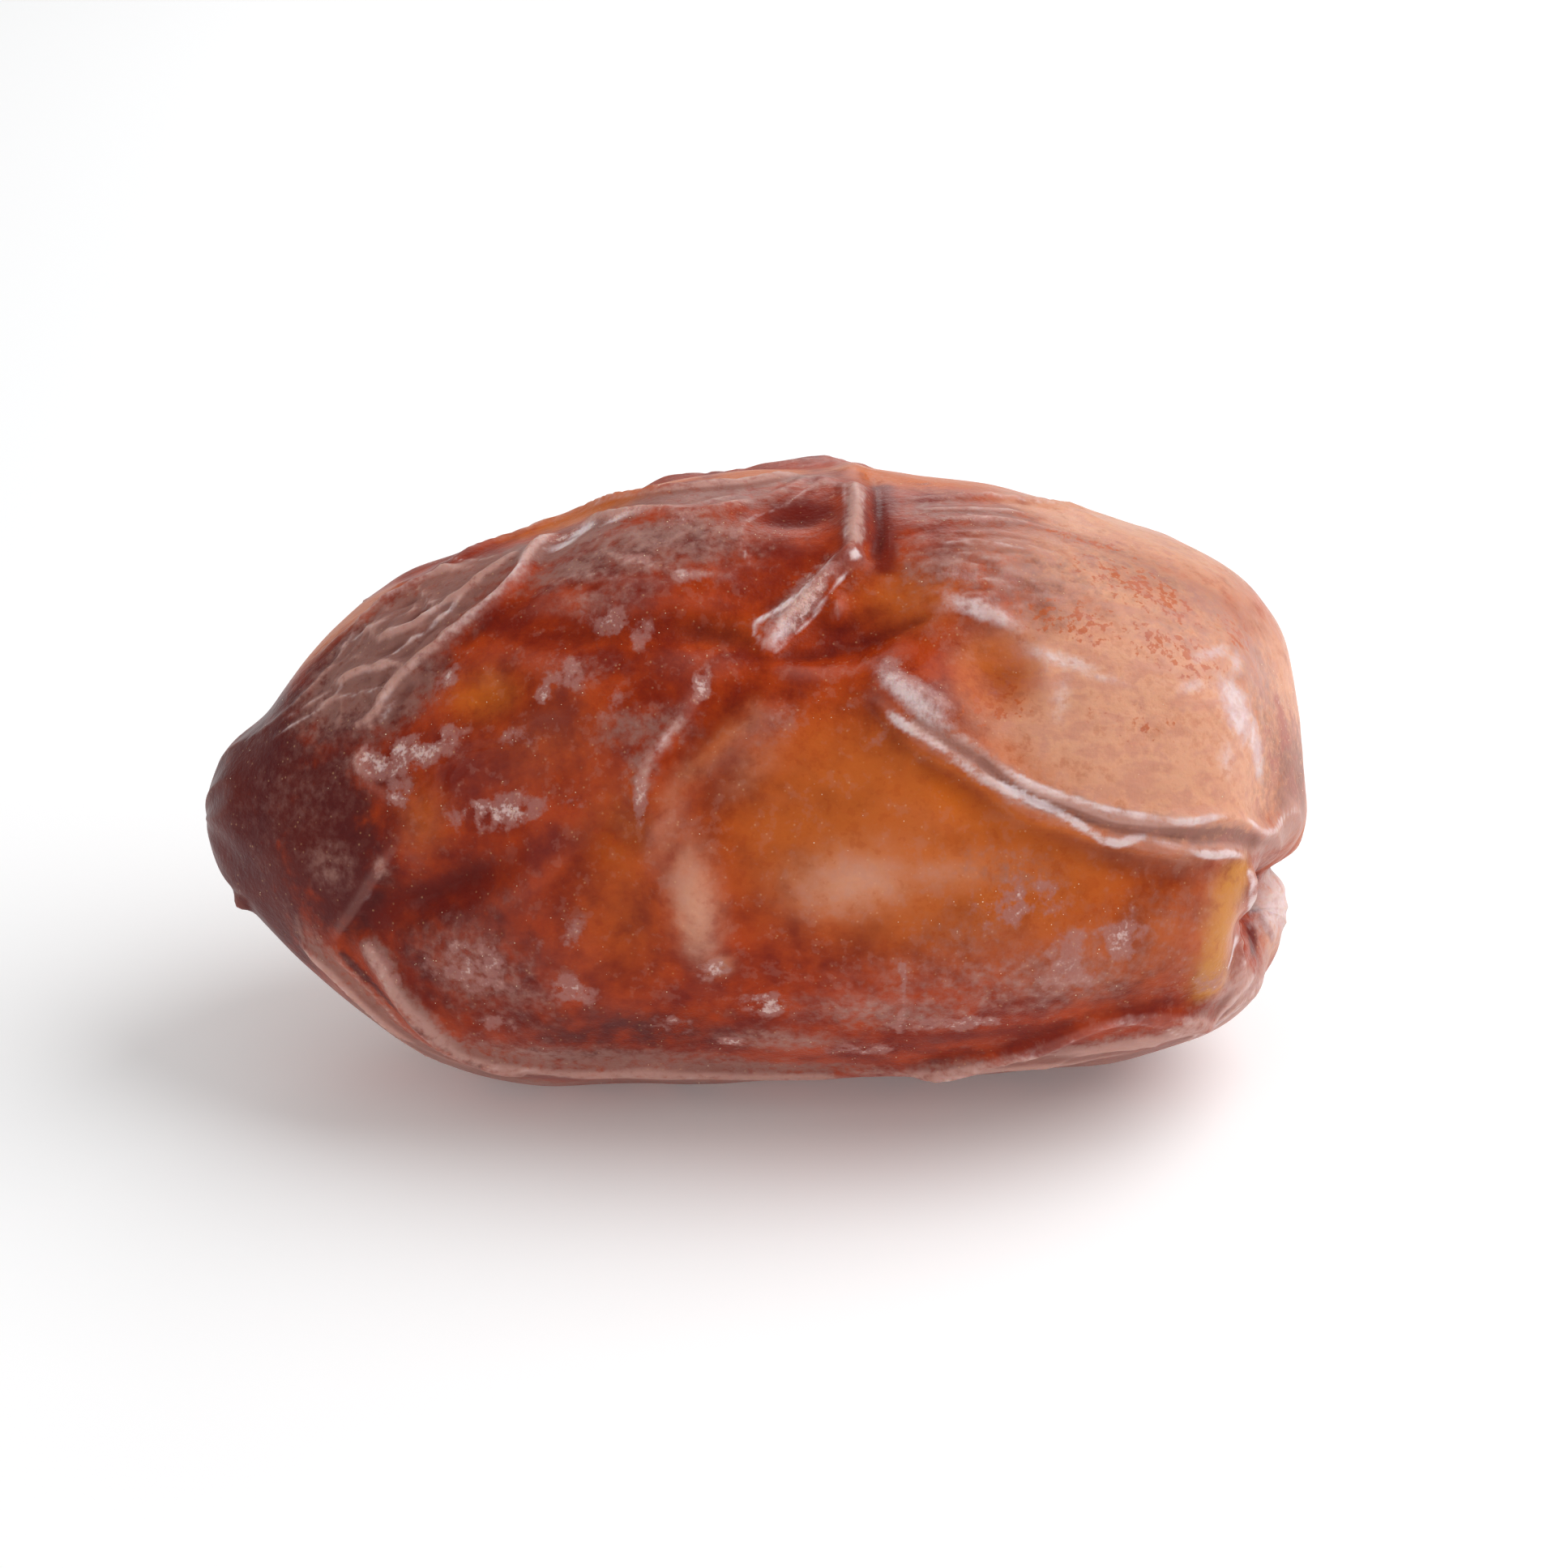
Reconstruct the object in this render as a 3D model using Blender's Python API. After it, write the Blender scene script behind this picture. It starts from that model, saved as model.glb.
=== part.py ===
"""A medjool date, lying on the side that it has settled on.

The fruit is one solid, as the real one is: a wrinkled skin from the blunt tip to the puckered
stem end. It is shaped in the fruit's own frame, which has X along the fruit from the tip, Z up
its broad face and -Y out of that face. Its plain form comes from a table of sections. Swells and
hollows are pushed into that form first, and the folds of the skin are then raised along lines.
Last, the fruit is rolled back onto its belly, where its weight presses a small flat spot.

Sizes are in millimetres. The finished mesh is in metres, with +Z up.
"""

import math
from typing import NamedTuple

import bmesh
import bpy
import numpy as np
from mathutils import Vector

MM = 0.001

# Driving dimensions of the fruit
LENGTH = 45.0
ROLL_DEG = 25.0
SECTION_POWER = 2.25
PRESSED_DEPTH = 0.75
PRESS_SOFTNESS = 0.16
FLAT_SPOT_RISE = 0.08

# Fineness of the worked skin, and how much of it the solid keeps
ROWS = 190
COLUMNS = 180
OUTLINE_STEPS = 4000
KEPT_SHARE = 0.125
PATH_STEP = 0.35
CUT_MERGE = 0.004
TINY = 1e-6

# The least that a point of the skin faces a side, for a place on that side to be found there
LEAST_FACING = 0.06

# Sections: distance from the tip, then top, bottom and axis heights, how far the skin reaches
# to the front and to the back, and how far the axis lies toward the front
SECTIONS = (
    (0.0, 1.0, 1.0, 1.0, 0.0, 0.0, 0.0),
    (1.3, 3.8, -1.9, 1.0, 2.9, 3.0, 0.0),
    (2.7, 5.3, -3.4, 1.1, 4.4, 4.5, 0.0),
    (4.3, 7.7, -4.9, 1.2, 5.9, 6.0, 0.0),
    (6.7, 9.8, -7.2, 1.4, 7.8, 7.7, 0.0),
    (9.3, 11.0, -8.9, 1.6, 9.3, 9.0, 0.0),
    (13.3, 12.6, -9.8, 1.9, 10.9, 10.4, 0.0),
    (18.7, 14.6, -9.8, 2.3, 12.0, 11.5, 0.0),
    (25.3, 15.2, -9.6, 2.7, 12.4, 12.0, 0.0),
    (31.0, 14.6, -9.4, 2.6, 12.3, 11.8, 0.0),
    (36.5, 13.5, -9.0, 2.2, 11.6, 11.2, 0.2),
    (40.5, 12.0, -8.0, 1.2, 10.1, 9.8, 0.8),
    (43.0, 9.8, -6.0, -0.2, 7.3, 7.4, 1.8),
    (44.4, 6.7, -4.3, -1.6, 5.2, 4.6, 2.4),
    (45.0, -2.6, -2.6, -2.6, 3.0, -3.0, 3.0),
)

# A side of the fruit: the two axes that its places are read along, and the way it faces
SIDES = {
    "front": (0, 2, (0.0, -1.0, 0.0)),
    "back": (0, 2, (0.0, 1.0, 0.0)),
    "top": (0, 1, (0.0, 0.0, 1.0)),
    "belly": (0, 1, (0.0, 0.0, -1.0)),
    "tip": (1, 2, (-1.0, 0.0, 0.0)),
    "stem": (1, 2, (1.0, 0.0, 0.0)),
}


class Swell(NamedTuple):
    """A broad rise of the skin, or a hollow where its height is negative."""

    side: str
    place: tuple[float, float]
    radii: tuple[float, float]
    turn_deg: float
    height: float


class Fold(NamedTuple):
    """A fold along a line: a crest or a groove, and a lip that lifts the skin on its left."""

    side: str
    places: tuple[tuple[float, float], ...]
    height: float
    width: float
    lip: float = 0.0
    reach: float = 1.0
    fade: float = 1.5
    wander: float = 0.1


SWELLS = {
    "stem_end_lobe": Swell("front", (38.9, 6.2), (6.0, 4.4), -12.0, 0.85),
    "lobe_hollow": Swell("front", (31.9, 6.3), (1.8, 2.0), 20.0, -0.6),
    "pucker": Swell("front", (24.8, 8.8), (3.4, 2.6), 0.0, -0.85),
    "pucker_left": Swell("front", (21.0, 8.4), (2.2, 0.9), -14.0, -0.4),
    "pucker_right": Swell("front", (26.7, 8.9), (1.7, 1.1), 24.0, -0.22),
    "pucker_knot": Swell("front", (26.6, 11.4), (0.5, 0.4), 0.0, 0.25),
    "high_dimple": Swell("front", (24.2, 13.2), (1.6, 1.1), 0.0, -0.38),
    "crease_root": Swell("front", (27.5, 11.6), (1.0, 2.4), 0.0, -0.2),
    "middle_swell": Swell("front", (27.4, 0.6), (5.2, 3.0), -12.0, 0.55),
    "low_swell": Swell("front", (33.6, -4.2), (6.6, 2.4), 3.0, 0.55),
    "left_valley": Swell("front", (10.6, -1.6), (3.0, 1.2), 24.0, -0.75),
    "slant_valley": Swell("front", (20.8, 4.4), (3.2, 1.1), 50.0, -0.4),
    "peach_bar": Swell("front", (20.4, -2.3), (1.0, 2.5), 8.0, 0.5),
    "peach_mound": Swell("front", (26.4, -1.6), (2.3, 1.5), 8.0, 0.35),
    "bar_valley": Swell("front", (17.6, -2.6), (1.0, 2.6), 0.0, -0.3),
    "left_hollow": Swell("front", (12.4, 6.0), (1.9, 1.3), 10.0, -0.5),
    "upper_hollow": Swell("front", (15.4, 8.4), (2.6, 1.0), -8.0, -0.5),
    "low_left_hollow": Swell("front", (12.0, -6.0), (3.4, 1.9), -18.0, -0.35),
    "tip_knob": Swell("front", (4.2, 0.8), (2.6, 3.4), 0.0, 0.3),
    "foot_roll": Swell("front", (37.6, -7.6), (4.0, 1.2), 4.0, 0.45),
    "style_nub": Swell("front", (1.7, -2.3), (0.4, 0.35), 0.0, 0.4),
    "back_furrow": Swell("back", (19.0, 4.4), (9.0, 1.5), 9.0, -1.2),
    "back_low_furrow": Swell("back", (30.5, -1.6), (7.5, 1.3), -7.0, -0.95),
    "back_shoulder": Swell("back", (31.0, 6.2), (5.6, 3.2), -6.0, 0.7),
    "back_tip_hollow": Swell("back", (8.6, 1.0), (2.8, 1.7), -20.0, -0.7),
    "back_low_swell": Swell("back", (16.0, -3.0), (6.0, 2.6), 6.0, 0.6),
    "back_stem_hollow": Swell("back", (39.0, 3.2), (2.4, 1.6), 14.0, -0.65),
    "top_furrow": Swell("top", (14.5, 3.6), (5.0, 1.2), 10.0, -0.7),
    "top_stem_furrow": Swell("top", (34.5, 2.8), (5.6, 1.1), -8.0, -0.55),
    "stem_cavity": Swell("stem", (-4.0, -2.9), (2.0, 2.2), 0.0, -4.6),
    "stem_bite": Swell("stem", (-6.4, -3.2), (2.0, 2.4), 0.0, -1.7),
    "stem_scar": Swell("stem", (-4.0, -2.9), (0.9, 0.9), 0.0, 0.3),
    "stem_low_lobe": Swell("stem", (1.6, -3.4), (3.6, 2.4), 0.0, -0.75),
}

FOLDS = {
    "lobe_edge": Fold(
        "front",
        (
            (26.0, 6.3), (27.6, 5.2), (29.2, 3.8), (30.9, 2.7), (32.9, 1.3),
            (34.9, 0.6), (36.5, 0.1), (38.2, -0.2), (39.9, -0.4), (41.9, -0.5),
        ),
        0.22, 0.36, lip=0.42, reach=4.2, fade=4.0,
    ),
    "lobe_line": Fold(
        "front",
        (
            (29.7, 4.6), (31.2, 3.7), (32.5, 2.6), (34.2, 1.8), (35.9, 1.3),
            (37.5, 1.0), (39.2, 1.1), (41.2, 1.0), (42.7, 0.5), (43.6, 1.0),
        ),
        0.2, 0.32,
    ),
    "lobe_channel": Fold(
        "front",
        ((31.0, 3.3), (33.5, 1.7), (36.0, 0.8), (38.5, 0.4), (41.0, 0.3), (42.7, 0.0)),
        -0.18, 0.34,
    ),
    "lobe_foot": Fold(
        "front",
        ((28.6, 3.3), (30.4, 1.8), (32.5, 0.4), (34.8, -0.4), (37.0, -0.9), (39.5, -1.3), (41.4, -1.4)),
        -0.15, 0.9,
    ),
    "end_cleft": Fold(
        "stem",
        ((-3.0, -1.2), (0.0, -1.1), (3.4, -1.2), (6.0, -0.9), (8.0, -0.4)),
        -1.1, 0.6, fade=2.5,
    ),
    "pucker_ridge": Fold(
        "front",
        (
            (22.9, 7.5), (23.4, 8.7), (24.4, 9.7), (25.4, 10.6), (26.3, 11.5),
            (26.6, 12.6), (26.7, 13.6), (26.6, 14.6),
        ),
        0.5, 0.44,
    ),
    "pucker_spur": Fold("front", ((25.8, 10.2), (25.8, 9.5), (25.8, 8.9)), 0.4, 0.3),
    "pucker_end": Fold("top", ((26.6, -3.6), (26.3, 0.0), (25.2, 2.6)), 0.25, 0.6, fade=3.0),
    "top_crease": Fold(
        "front",
        ((27.2, 11.2), (27.5, 12.4), (27.5, 13.6), (27.3, 15.0)),
        -0.22, 0.4,
    ),
    "pucker_groove": Fold(
        "front",
        ((23.0, 7.6), (24.7, 7.5), (26.4, 7.9), (28.2, 8.6), (30.2, 9.1)),
        -0.16, 0.5,
    ),
    "pucker_rim": Fold(
        "front",
        ((22.9, 7.2), (25.0, 6.8), (26.3, 6.8), (27.8, 7.2), (28.9, 7.9)),
        0.2, 0.5,
    ),
    "dimple_rim": Fold(
        "front",
        ((22.9, 13.8), (23.9, 14.4), (25.0, 14.8), (25.8, 14.3)),
        0.12, 0.4,
    ),
    "shoulder": Fold("front", ((26.8, 6.4), (27.9, 6.3), (29.1, 5.7), (30.4, 4.7)), 0.45, 0.6),
    "hollow_rim": Fold(
        "front",
        ((29.0, 8.3), (30.4, 9.2), (31.7, 8.9), (32.8, 8.1), (33.7, 7.3), (33.9, 6.2), (34.0, 5.2)),
        0.24, 0.5,
    ),
    "left_edge": Fold(
        "front",
        (
            (14.7, 12.6), (13.9, 11.8), (13.4, 10.6), (12.6, 9.6), (11.1, 8.6),
            (9.6, 7.6), (8.2, 6.2), (7.2, 4.8), (6.4, 4.6),
        ),
        0.36, 0.42, lip=-0.3, reach=1.6,
    ),
    "left_second": Fold(
        "front",
        ((13.3, 11.6), (11.7, 10.3), (10.2, 9.3), (8.7, 8.6), (7.0, 8.2)),
        0.28, 0.4,
    ),
    "left_third": Fold("front", ((11.5, 11.2), (9.8, 10.6), (8.4, 10.0), (7.0, 9.4)), 0.3, 0.38),
    "left_fourth": Fold("front", ((8.8, 7.2), (7.0, 6.9), (5.6, 6.3)), 0.3, 0.36),
    "top_line": Fold(
        "front",
        ((10.2, 11.0), (12.9, 12.4), (15.3, 13.5), (18.2, 14.0), (21.5, 14.5), (24.6, 15.0)),
        0.35, 0.42,
    ),
    "top_second": Fold("front", ((15.6, 12.8), (18.2, 13.1), (20.8, 13.2), (22.6, 13.9)), 0.25, 0.36),
    "spike": Fold("front", ((20.6, 6.2), (19.5, 4.4), (18.5, 3.1), (18.1, 1.2)), 0.26, 0.5),
    "slant_ridge": Fold(
        "front",
        ((24.0, 5.6), (21.9, 3.8), (19.9, 1.8), (18.8, 0.2), (19.0, -1.6)),
        0.2, 0.9,
    ),
    "tip_edge": Fold(
        "front",
        ((8.5, -0.1), (7.6, -1.6), (6.6, -3.0), (5.8, -3.9)),
        0.2, 0.35, lip=-0.3, reach=1.8,
    ),
    "tip_upper_edge": Fold("front", ((7.3, 4.4), (6.9, 3.4), (7.5, 2.4), (9.0, 1.6)), 0.25, 0.4),
    "low_left_band": Fold(
        "front",
        ((6.4, -3.4), (7.6, -4.6), (8.6, -5.9), (9.6, -7.1), (11.2, -8.4), (13.4, -9.1)),
        0.4, 0.62,
    ),
    "low_left_line": Fold("front", ((4.2, -3.9), (6.0, -5.3), (7.3, -6.7), (9.0, -8.1)), 0.3, 0.35),
    "foot_fold": Fold(
        "front",
        (
            (29.0, -9.0), (31.2, -8.6), (33.3, -8.0), (35.2, -7.2), (36.6, -6.6),
            (38.2, -6.5), (40.0, -6.8), (41.2, -7.2),
        ),
        0.34, 0.5, lip=-0.25, reach=1.6,
    ),
    "end_low_edge": Fold(
        "front",
        ((39.6, -7.6), (41.1, -6.8), (42.0, -6.1), (43.0, -5.5), (43.8, -4.9)),
        0.25, 0.36, fade=4.0,
    ),
    "stem_lip": Fold(
        "front",
        ((41.9, -0.7), (42.3, -1.3), (42.5, -2.4), (42.4, -3.7), (42.2, -5.0), (42.3, -5.8)),
        0.35, 0.36,
    ),
    "end_strut": Fold("stem", ((-1.6, -1.6), (-2.2, -2.6), (-2.1, -3.6), (-1.2, -4.8)), 0.3, 0.45),
    "back_long_fold": Fold(
        "back",
        ((5.0, 3.6), (10.5, 5.2), (16.0, 6.6), (22.0, 7.2), (28.0, 8.4), (34.0, 8.0), (40.0, 6.0)),
        0.6, 0.75, lip=0.4, reach=2.4, fade=6.0, wander=0.45,
    ),
    "back_middle_fold": Fold(
        "back",
        ((10.0, 2.4), (15.0, 1.7), (21.0, 2.6), (27.0, 2.0), (33.0, 0.2)),
        0.65, 0.8, fade=6.0, wander=0.5,
    ),
    "back_low_fold": Fold(
        "back",
        ((7.0, -3.0), (14.0, -5.6), (20.0, -5.4), (26.0, -4.2), (32.0, -4.6), (40.0, -2.6)),
        0.55, 0.75, lip=-0.3, reach=2.0, fade=6.0, wander=0.45,
    ),
    "back_cross_fold": Fold(
        "back",
        ((24.0, 8.8), (25.6, 5.2), (24.8, 2.4), (26.6, -1.4)),
        -0.55, 0.7, fade=3.0, wander=0.4,
    ),
    "back_stem_fold": Fold(
        "back",
        ((32.0, 3.6), (36.0, 1.8), (40.0, 0.4), (43.0, -0.6)),
        -0.7, 0.6, fade=4.0, wander=0.3,
    ),
    "back_tip_fold": Fold(
        "back",
        ((2.4, 1.8), (6.4, 0.2), (9.6, 0.0), (13.4, -1.4)),
        -0.5, 0.5, fade=3.0, wander=0.3,
    ),
    "top_long_fold": Fold(
        "top",
        ((5.0, 1.8), (11.0, 0.6), (18.0, 2.6), (24.0, 1.6), (30.0, 3.2), (38.0, 2.0)),
        0.5, 0.7, fade=6.0, wander=0.5,
    ),
    "top_back_fold": Fold(
        "top",
        ((10.0, 6.6), (18.0, 5.4), (25.0, 6.6), (32.0, 6.0), (39.0, 4.4)),
        0.5, 0.7, fade=6.0, wander=0.5,
    ),
    "belly_front_fold": Fold(
        "belly",
        ((8.0, -3.2), (17.0, -4.4), (25.0, -3.8), (33.0, -4.6), (40.0, -3.0)),
        0.35, 0.7, fade=6.0, wander=0.4,
    ),
}

# Smooth noise: how much it is raised to run from about -1 to 1
NOISE_GAIN = 1.6

# Slow unevenness of the flesh under the skin: how wide each lump is, and how high
LUMPS = ((7.5, 0.32), (3.6, 0.14))
LUMP_SEED = 11
LUMP_SHIFT = 7.3

# How a fold strays from its line, how sharp its crest is, and how many widths away it has ended
WANDER_LENGTH = 3.0
WANDER_SEED = 5
CREST_SHARPNESS = 1.7
FOLD_LIMIT = 3.0

# Wrinkles that run along the fruit where no fold is placed: how long and how wide each is, and
# how high. Then how much of that the front keeps, where the folds are placed one by one, and
# between which ways of facing the front begins. Last, the distances from the tip over which
# they grow, and over which part of them fades towards the stem.
WRINKLES = ((11.0, 3.8, 0.6), (7.0, 2.0, 0.16))
FRONT_WRINKLES = 0.1
FRONT_BEGINS = (-0.7, 0.2)
WRINKLES_GROW = (0.0, 6.0)
WRINKLES_FADE = (38.0, 44.0, 0.6)

# How much the wrinkles bend, how round their crests are, how steeply they fall from a crest, and
# the share of their height that lies above the plain form
WRINKLE_BEND = 0.6
WRINKLE_SOFTNESS = 0.07
WRINKLE_FALL = 1.6
WRINKLE_LEVEL = 0.55
WRINKLE_SEED = 41

# Pleats that run into the stem end and into the tip: how close together, how deep, and how far
# out from the end they are deepest
STEM_PLEATS = (2.1, 0.22, 4.2)
TIP_PLEATS = (1.6, 0.18, 3.0)
PLEAT_FALL = 2.5
PLEAT_SPREAD = 0.6
PLEAT_SEED = 23

FRUIT_COLOUR = (0.36, 0.09, 0.03, 1.0)
FRUIT_ROUGHNESS = 0.42


def clear_scene():
    """Remove whatever the scene holds."""
    for obj in list(bpy.data.objects):
        bpy.data.objects.remove(obj, do_unlink=True)


def smooth_curve(knots, values, at):
    """Read at some places a smooth curve that passes through values at knots."""
    knots = np.asarray(knots, float)
    values = np.asarray(values, float)
    slopes = np.gradient(values, knots, axis=0)
    left = np.clip(np.searchsorted(knots, at, side="right") - 1, 0, len(knots) - 2)
    step = knots[left + 1] - knots[left]
    t = (at - knots[left]) / step
    if values.ndim > 1:
        t = t[:, None]
        step = step[:, None]
    start = (1 + 2 * t) * (1 - t) ** 2 * values[left] + t * (1 - t) ** 2 * step * slopes[left]
    end = t**2 * (3 - 2 * t) * values[left + 1] + t**2 * (t - 1) * step * slopes[left + 1]
    return start + end


def smooth_step(low, high, value):
    """0 below low and 1 above high, with a smooth rise between them."""
    t = np.clip((value - low) / (high - low), 0.0, 1.0)
    return t * t * (3 - 2 * t)


def gradient_noise(points, seed):
    """Smooth noise from about -1 to 1 at each point, with features about one unit wide."""
    draw = np.random.default_rng(seed)
    order = draw.permutation(256)
    order = np.concatenate([order, order, order])
    slopes = draw.normal(size=(256, 3))
    slopes /= np.linalg.norm(slopes, axis=1)[:, None]
    corner = np.floor(points).astype(int)
    inside = points - corner
    corner &= 255
    ease = inside**3 * (inside * (inside * 6 - 15) + 10)
    total = np.zeros(len(points))
    for dx in (0, 1):
        for dy in (0, 1):
            for dz in (0, 1):
                step = np.array((dx, dy, dz))
                at = (corner + step) & 255
                slope = slopes[order[order[order[at[:, 0]] + at[:, 1]] + at[:, 2]]]
                weight = np.prod(np.where(step == 1, ease, 1 - ease), axis=1)
                total += weight * np.einsum("ij,ij->i", slope, inside - step)
    return total * NOISE_GAIN


def row_stations():
    """Distances from the tip of the rows of the skin, closer together where it turns in."""
    knots = [s[0] for s in SECTIONS]
    swing = np.linspace(0.0, math.pi, OUTLINE_STEPS + 1)
    stations = LENGTH * (1 - np.cos(swing)) / 2
    place = np.arccos(1 - 2 * np.array(knots) / LENGTH)
    heights = smooth_curve(place, [s[1] - s[3] for s in SECTIONS], swing)
    travelled = np.concatenate([[0.0], np.cumsum(np.hypot(np.diff(stations), np.diff(heights)))])
    even = np.linspace(0.0, travelled[-1], ROWS + 1)
    return np.interp(even, travelled, stations)


def plain_form():
    """The fruit without its folds, as a grid of points: ROWS + 1 rings from the tip on."""
    stations = row_stations()
    table = np.array(SECTIONS)
    swing = np.arccos(1 - 2 * table[:, 0] / LENGTH)
    read = smooth_curve(swing, table[:, 1:], np.arccos(1 - 2 * stations / LENGTH))
    top, bottom, axis, front, back, forward = read.T[:, :, None]
    angle = np.linspace(0.0, 2 * math.pi, COLUMNS, endpoint=False)[None, :]
    across, up = np.cos(angle), np.sin(angle)
    wide = np.maximum(np.where(across > 0, front - forward, back + forward), TINY)
    tall = np.maximum(np.where(up > 0, top - axis, axis - bottom), TINY)
    power = SECTION_POWER
    rim = (tall * np.abs(across)) ** power + (wide * np.abs(up)) ** power
    radius = wide * tall / rim ** (1 / power)
    grid = np.empty((ROWS + 1, COLUMNS, 3))
    grid[:, :, 0] = stations[:, None]
    grid[:, :, 1] = -forward - radius * across
    grid[:, :, 2] = axis + radius * up
    grid[0] = grid[0].mean(axis=0)
    grid[-1] = grid[-1].mean(axis=0)
    return grid


def normals_of(grid):
    """The outward direction at each point of the grid."""
    along = np.gradient(grid, axis=0)
    around = np.roll(grid, -1, axis=1) - np.roll(grid, 1, axis=1)
    normal = np.cross(along, around)
    normal[0] = np.cross(grid[1] - grid[0], np.roll(grid[1], -1, axis=0) - grid[1]).sum(axis=0)
    normal[-1] = np.cross(grid[-1] - grid[-2], np.roll(grid[-2], -1, axis=0) - grid[-2]).sum(axis=0)
    return normal / np.maximum(np.linalg.norm(normal, axis=2, keepdims=True), TINY**2)


class Skin:
    """The skin as flat lists of points, with the way that each faces."""

    def __init__(self, grid):
        self.shape = grid.shape
        self.settle(grid)

    def settle(self, grid):
        """Take new places for the skin's points."""
        self.grid = grid
        self.points = grid.reshape(-1, 3)
        self.normals = normals_of(grid).reshape(-1, 3)

    def push(self, height):
        """Move every point outwards by its height, with one height where a ring is a point."""
        rise = height.reshape(self.shape[:2]).copy()
        rise[0] = rise[0].mean()
        rise[-1] = rise[-1].mean()
        self.settle(self.grid + rise[:, :, None] * self.normals.reshape(self.shape))

    def nearest(self, side, place):
        """The index of the skin's point that is seen at a place, looking at that side."""
        first, second, facing = SIDES[side]
        seen = self.normals @ np.array(facing) > LEAST_FACING
        off = (self.points[:, first] - place[0]) ** 2 + (self.points[:, second] - place[1]) ** 2
        return int(np.argmin(np.where(seen, off, np.inf)))

    def line(self, side, places):
        """A smooth line over the skin through places, as points about PATH_STEP apart."""
        corners = np.array([self.points[self.nearest(side, p)] for p in places])
        lengths = np.linalg.norm(np.diff(corners, axis=0), axis=1)
        run = np.concatenate([[0.0], np.cumsum(np.maximum(lengths, TINY))])
        count = max(3, int(run[-1] / PATH_STEP))
        return smooth_curve(run, corners, np.linspace(0.0, run[-1], count))


def swell_heights(skin, swell):
    """How far one swell moves each point of the skin."""
    index = skin.nearest(swell.side, swell.place)
    centre, normal = skin.points[index], skin.normals[index]
    first, second, _ = SIDES[swell.side]
    turn = math.radians(swell.turn_deg)
    way = np.zeros(3)
    way[first] = math.cos(turn)
    way[second] = math.sin(turn)
    way -= normal * (way @ normal)
    way /= np.linalg.norm(way)
    side_way = np.cross(normal, way)
    off = skin.points - centre
    long, short = swell.radii
    spread = (off @ way / long) ** 2 + (off @ side_way / short) ** 2
    spread += (off @ normal / max(swell.radii)) ** 2
    return swell.height * np.exp(-spread)


def fold_heights(skin, fold):
    """How far one fold moves each point of the skin."""
    line = skin.line(fold.side, fold.places)
    limit = FOLD_LIMIT * max(fold.width, fold.reach if fold.lip else 0.0)
    low, high = line.min(axis=0) - limit, line.max(axis=0) + limit
    near = np.flatnonzero(((skin.points > low) & (skin.points < high)).all(axis=1))
    points, normals = skin.points[near], skin.normals[near]
    starts, steps = line[:-1], np.diff(line, axis=0)
    lengths = np.linalg.norm(steps, axis=1)
    run = np.concatenate([[0.0], np.cumsum(lengths)])
    best = np.full(len(near), np.inf)
    across = np.zeros(len(near))
    along = np.zeros(len(near))
    for start, step, length, begun in zip(starts, steps, lengths, run[:-1]):
        t = np.clip((points - start) @ step / length**2, 0.0, 1.0)
        off = points - start - t[:, None] * step
        distance = np.linalg.norm(off, axis=1)
        closer = distance < best
        left = np.cross(normals, step / length)
        best = np.where(closer, distance, best)
        across = np.where(closer, np.sign(np.einsum("ij,ij->i", off, left)) * distance, across)
        along = np.where(closer, begun + t * length, along)
    ends = np.minimum(along, run[-1] - along) / fold.fade
    strength = np.sin(np.clip(ends, 0.0, 1.0) * math.pi / 2)
    places = points / WANDER_LENGTH
    across = across + fold.wander * gradient_noise(places, WANDER_SEED)
    strength = strength * (1 + fold.wander * gradient_noise(places, WANDER_SEED + 1))
    crest = fold.height * np.exp(1 - np.hypot(1.0, CREST_SHARPNESS * across / fold.width))
    raised = 0.5 * (1 + np.tanh(2 * across / fold.width)) * np.exp(-((across / fold.reach) ** 2))
    heights = np.zeros(len(skin.points))
    heights[near] = strength * (crest + fold.lip * raised)
    return heights


def pleat_heights(skin, end, pleats):
    """Uneven pleats that run in to one end of the fruit, and fade with distance from it."""
    closeness, depth, reach = pleats
    off = skin.points - end
    distance = np.linalg.norm(off, axis=1)
    angle = np.arctan2(off[:, 2], off[:, 1])
    around = (closeness * np.cos(angle), closeness * np.sin(angle), distance / (2 * reach))
    ridges = 1 - PLEAT_FALL * np.abs(gradient_noise(np.stack(around, axis=1), PLEAT_SEED))
    return depth * ridges * np.exp(-(((distance - reach) / (PLEAT_SPREAD * reach)) ** 2))


def wrinkle_heights(skin):
    """Wrinkles along the fruit, strong on its back and belly and weak on its front."""
    along, facing = skin.points[:, 0], -skin.normals[:, 1]
    share = 1 - (1 - FRONT_WRINKLES) * smooth_step(*FRONT_BEGINS, facing)
    fade_from, fade_to, faded = WRINKLES_FADE
    ends = smooth_step(*WRINKLES_GROW, along) * (1 - faded * smooth_step(fade_from, fade_to, along))
    total = np.zeros(len(skin.points))
    for number, (length, width, height) in enumerate(WRINKLES):
        places = skin.points / (length, width, width)
        bend = gradient_noise(places, WRINKLE_SEED + len(WRINKLES) + number)
        places[:, 1:] += WRINKLE_BEND * bend[:, None]
        noise = gradient_noise(places, WRINKLE_SEED + number)
        total += height * (WRINKLE_LEVEL - WRINKLE_FALL * np.hypot(noise, WRINKLE_SOFTNESS))
    return total * share * ends


def lump_heights(skin):
    """The slow unevenness of the flesh."""
    total = np.zeros(len(skin.points))
    for number, (width, height) in enumerate(LUMPS):
        total += height * gradient_noise(skin.points / width + LUMP_SHIFT, LUMP_SEED + number)
    return total


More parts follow.
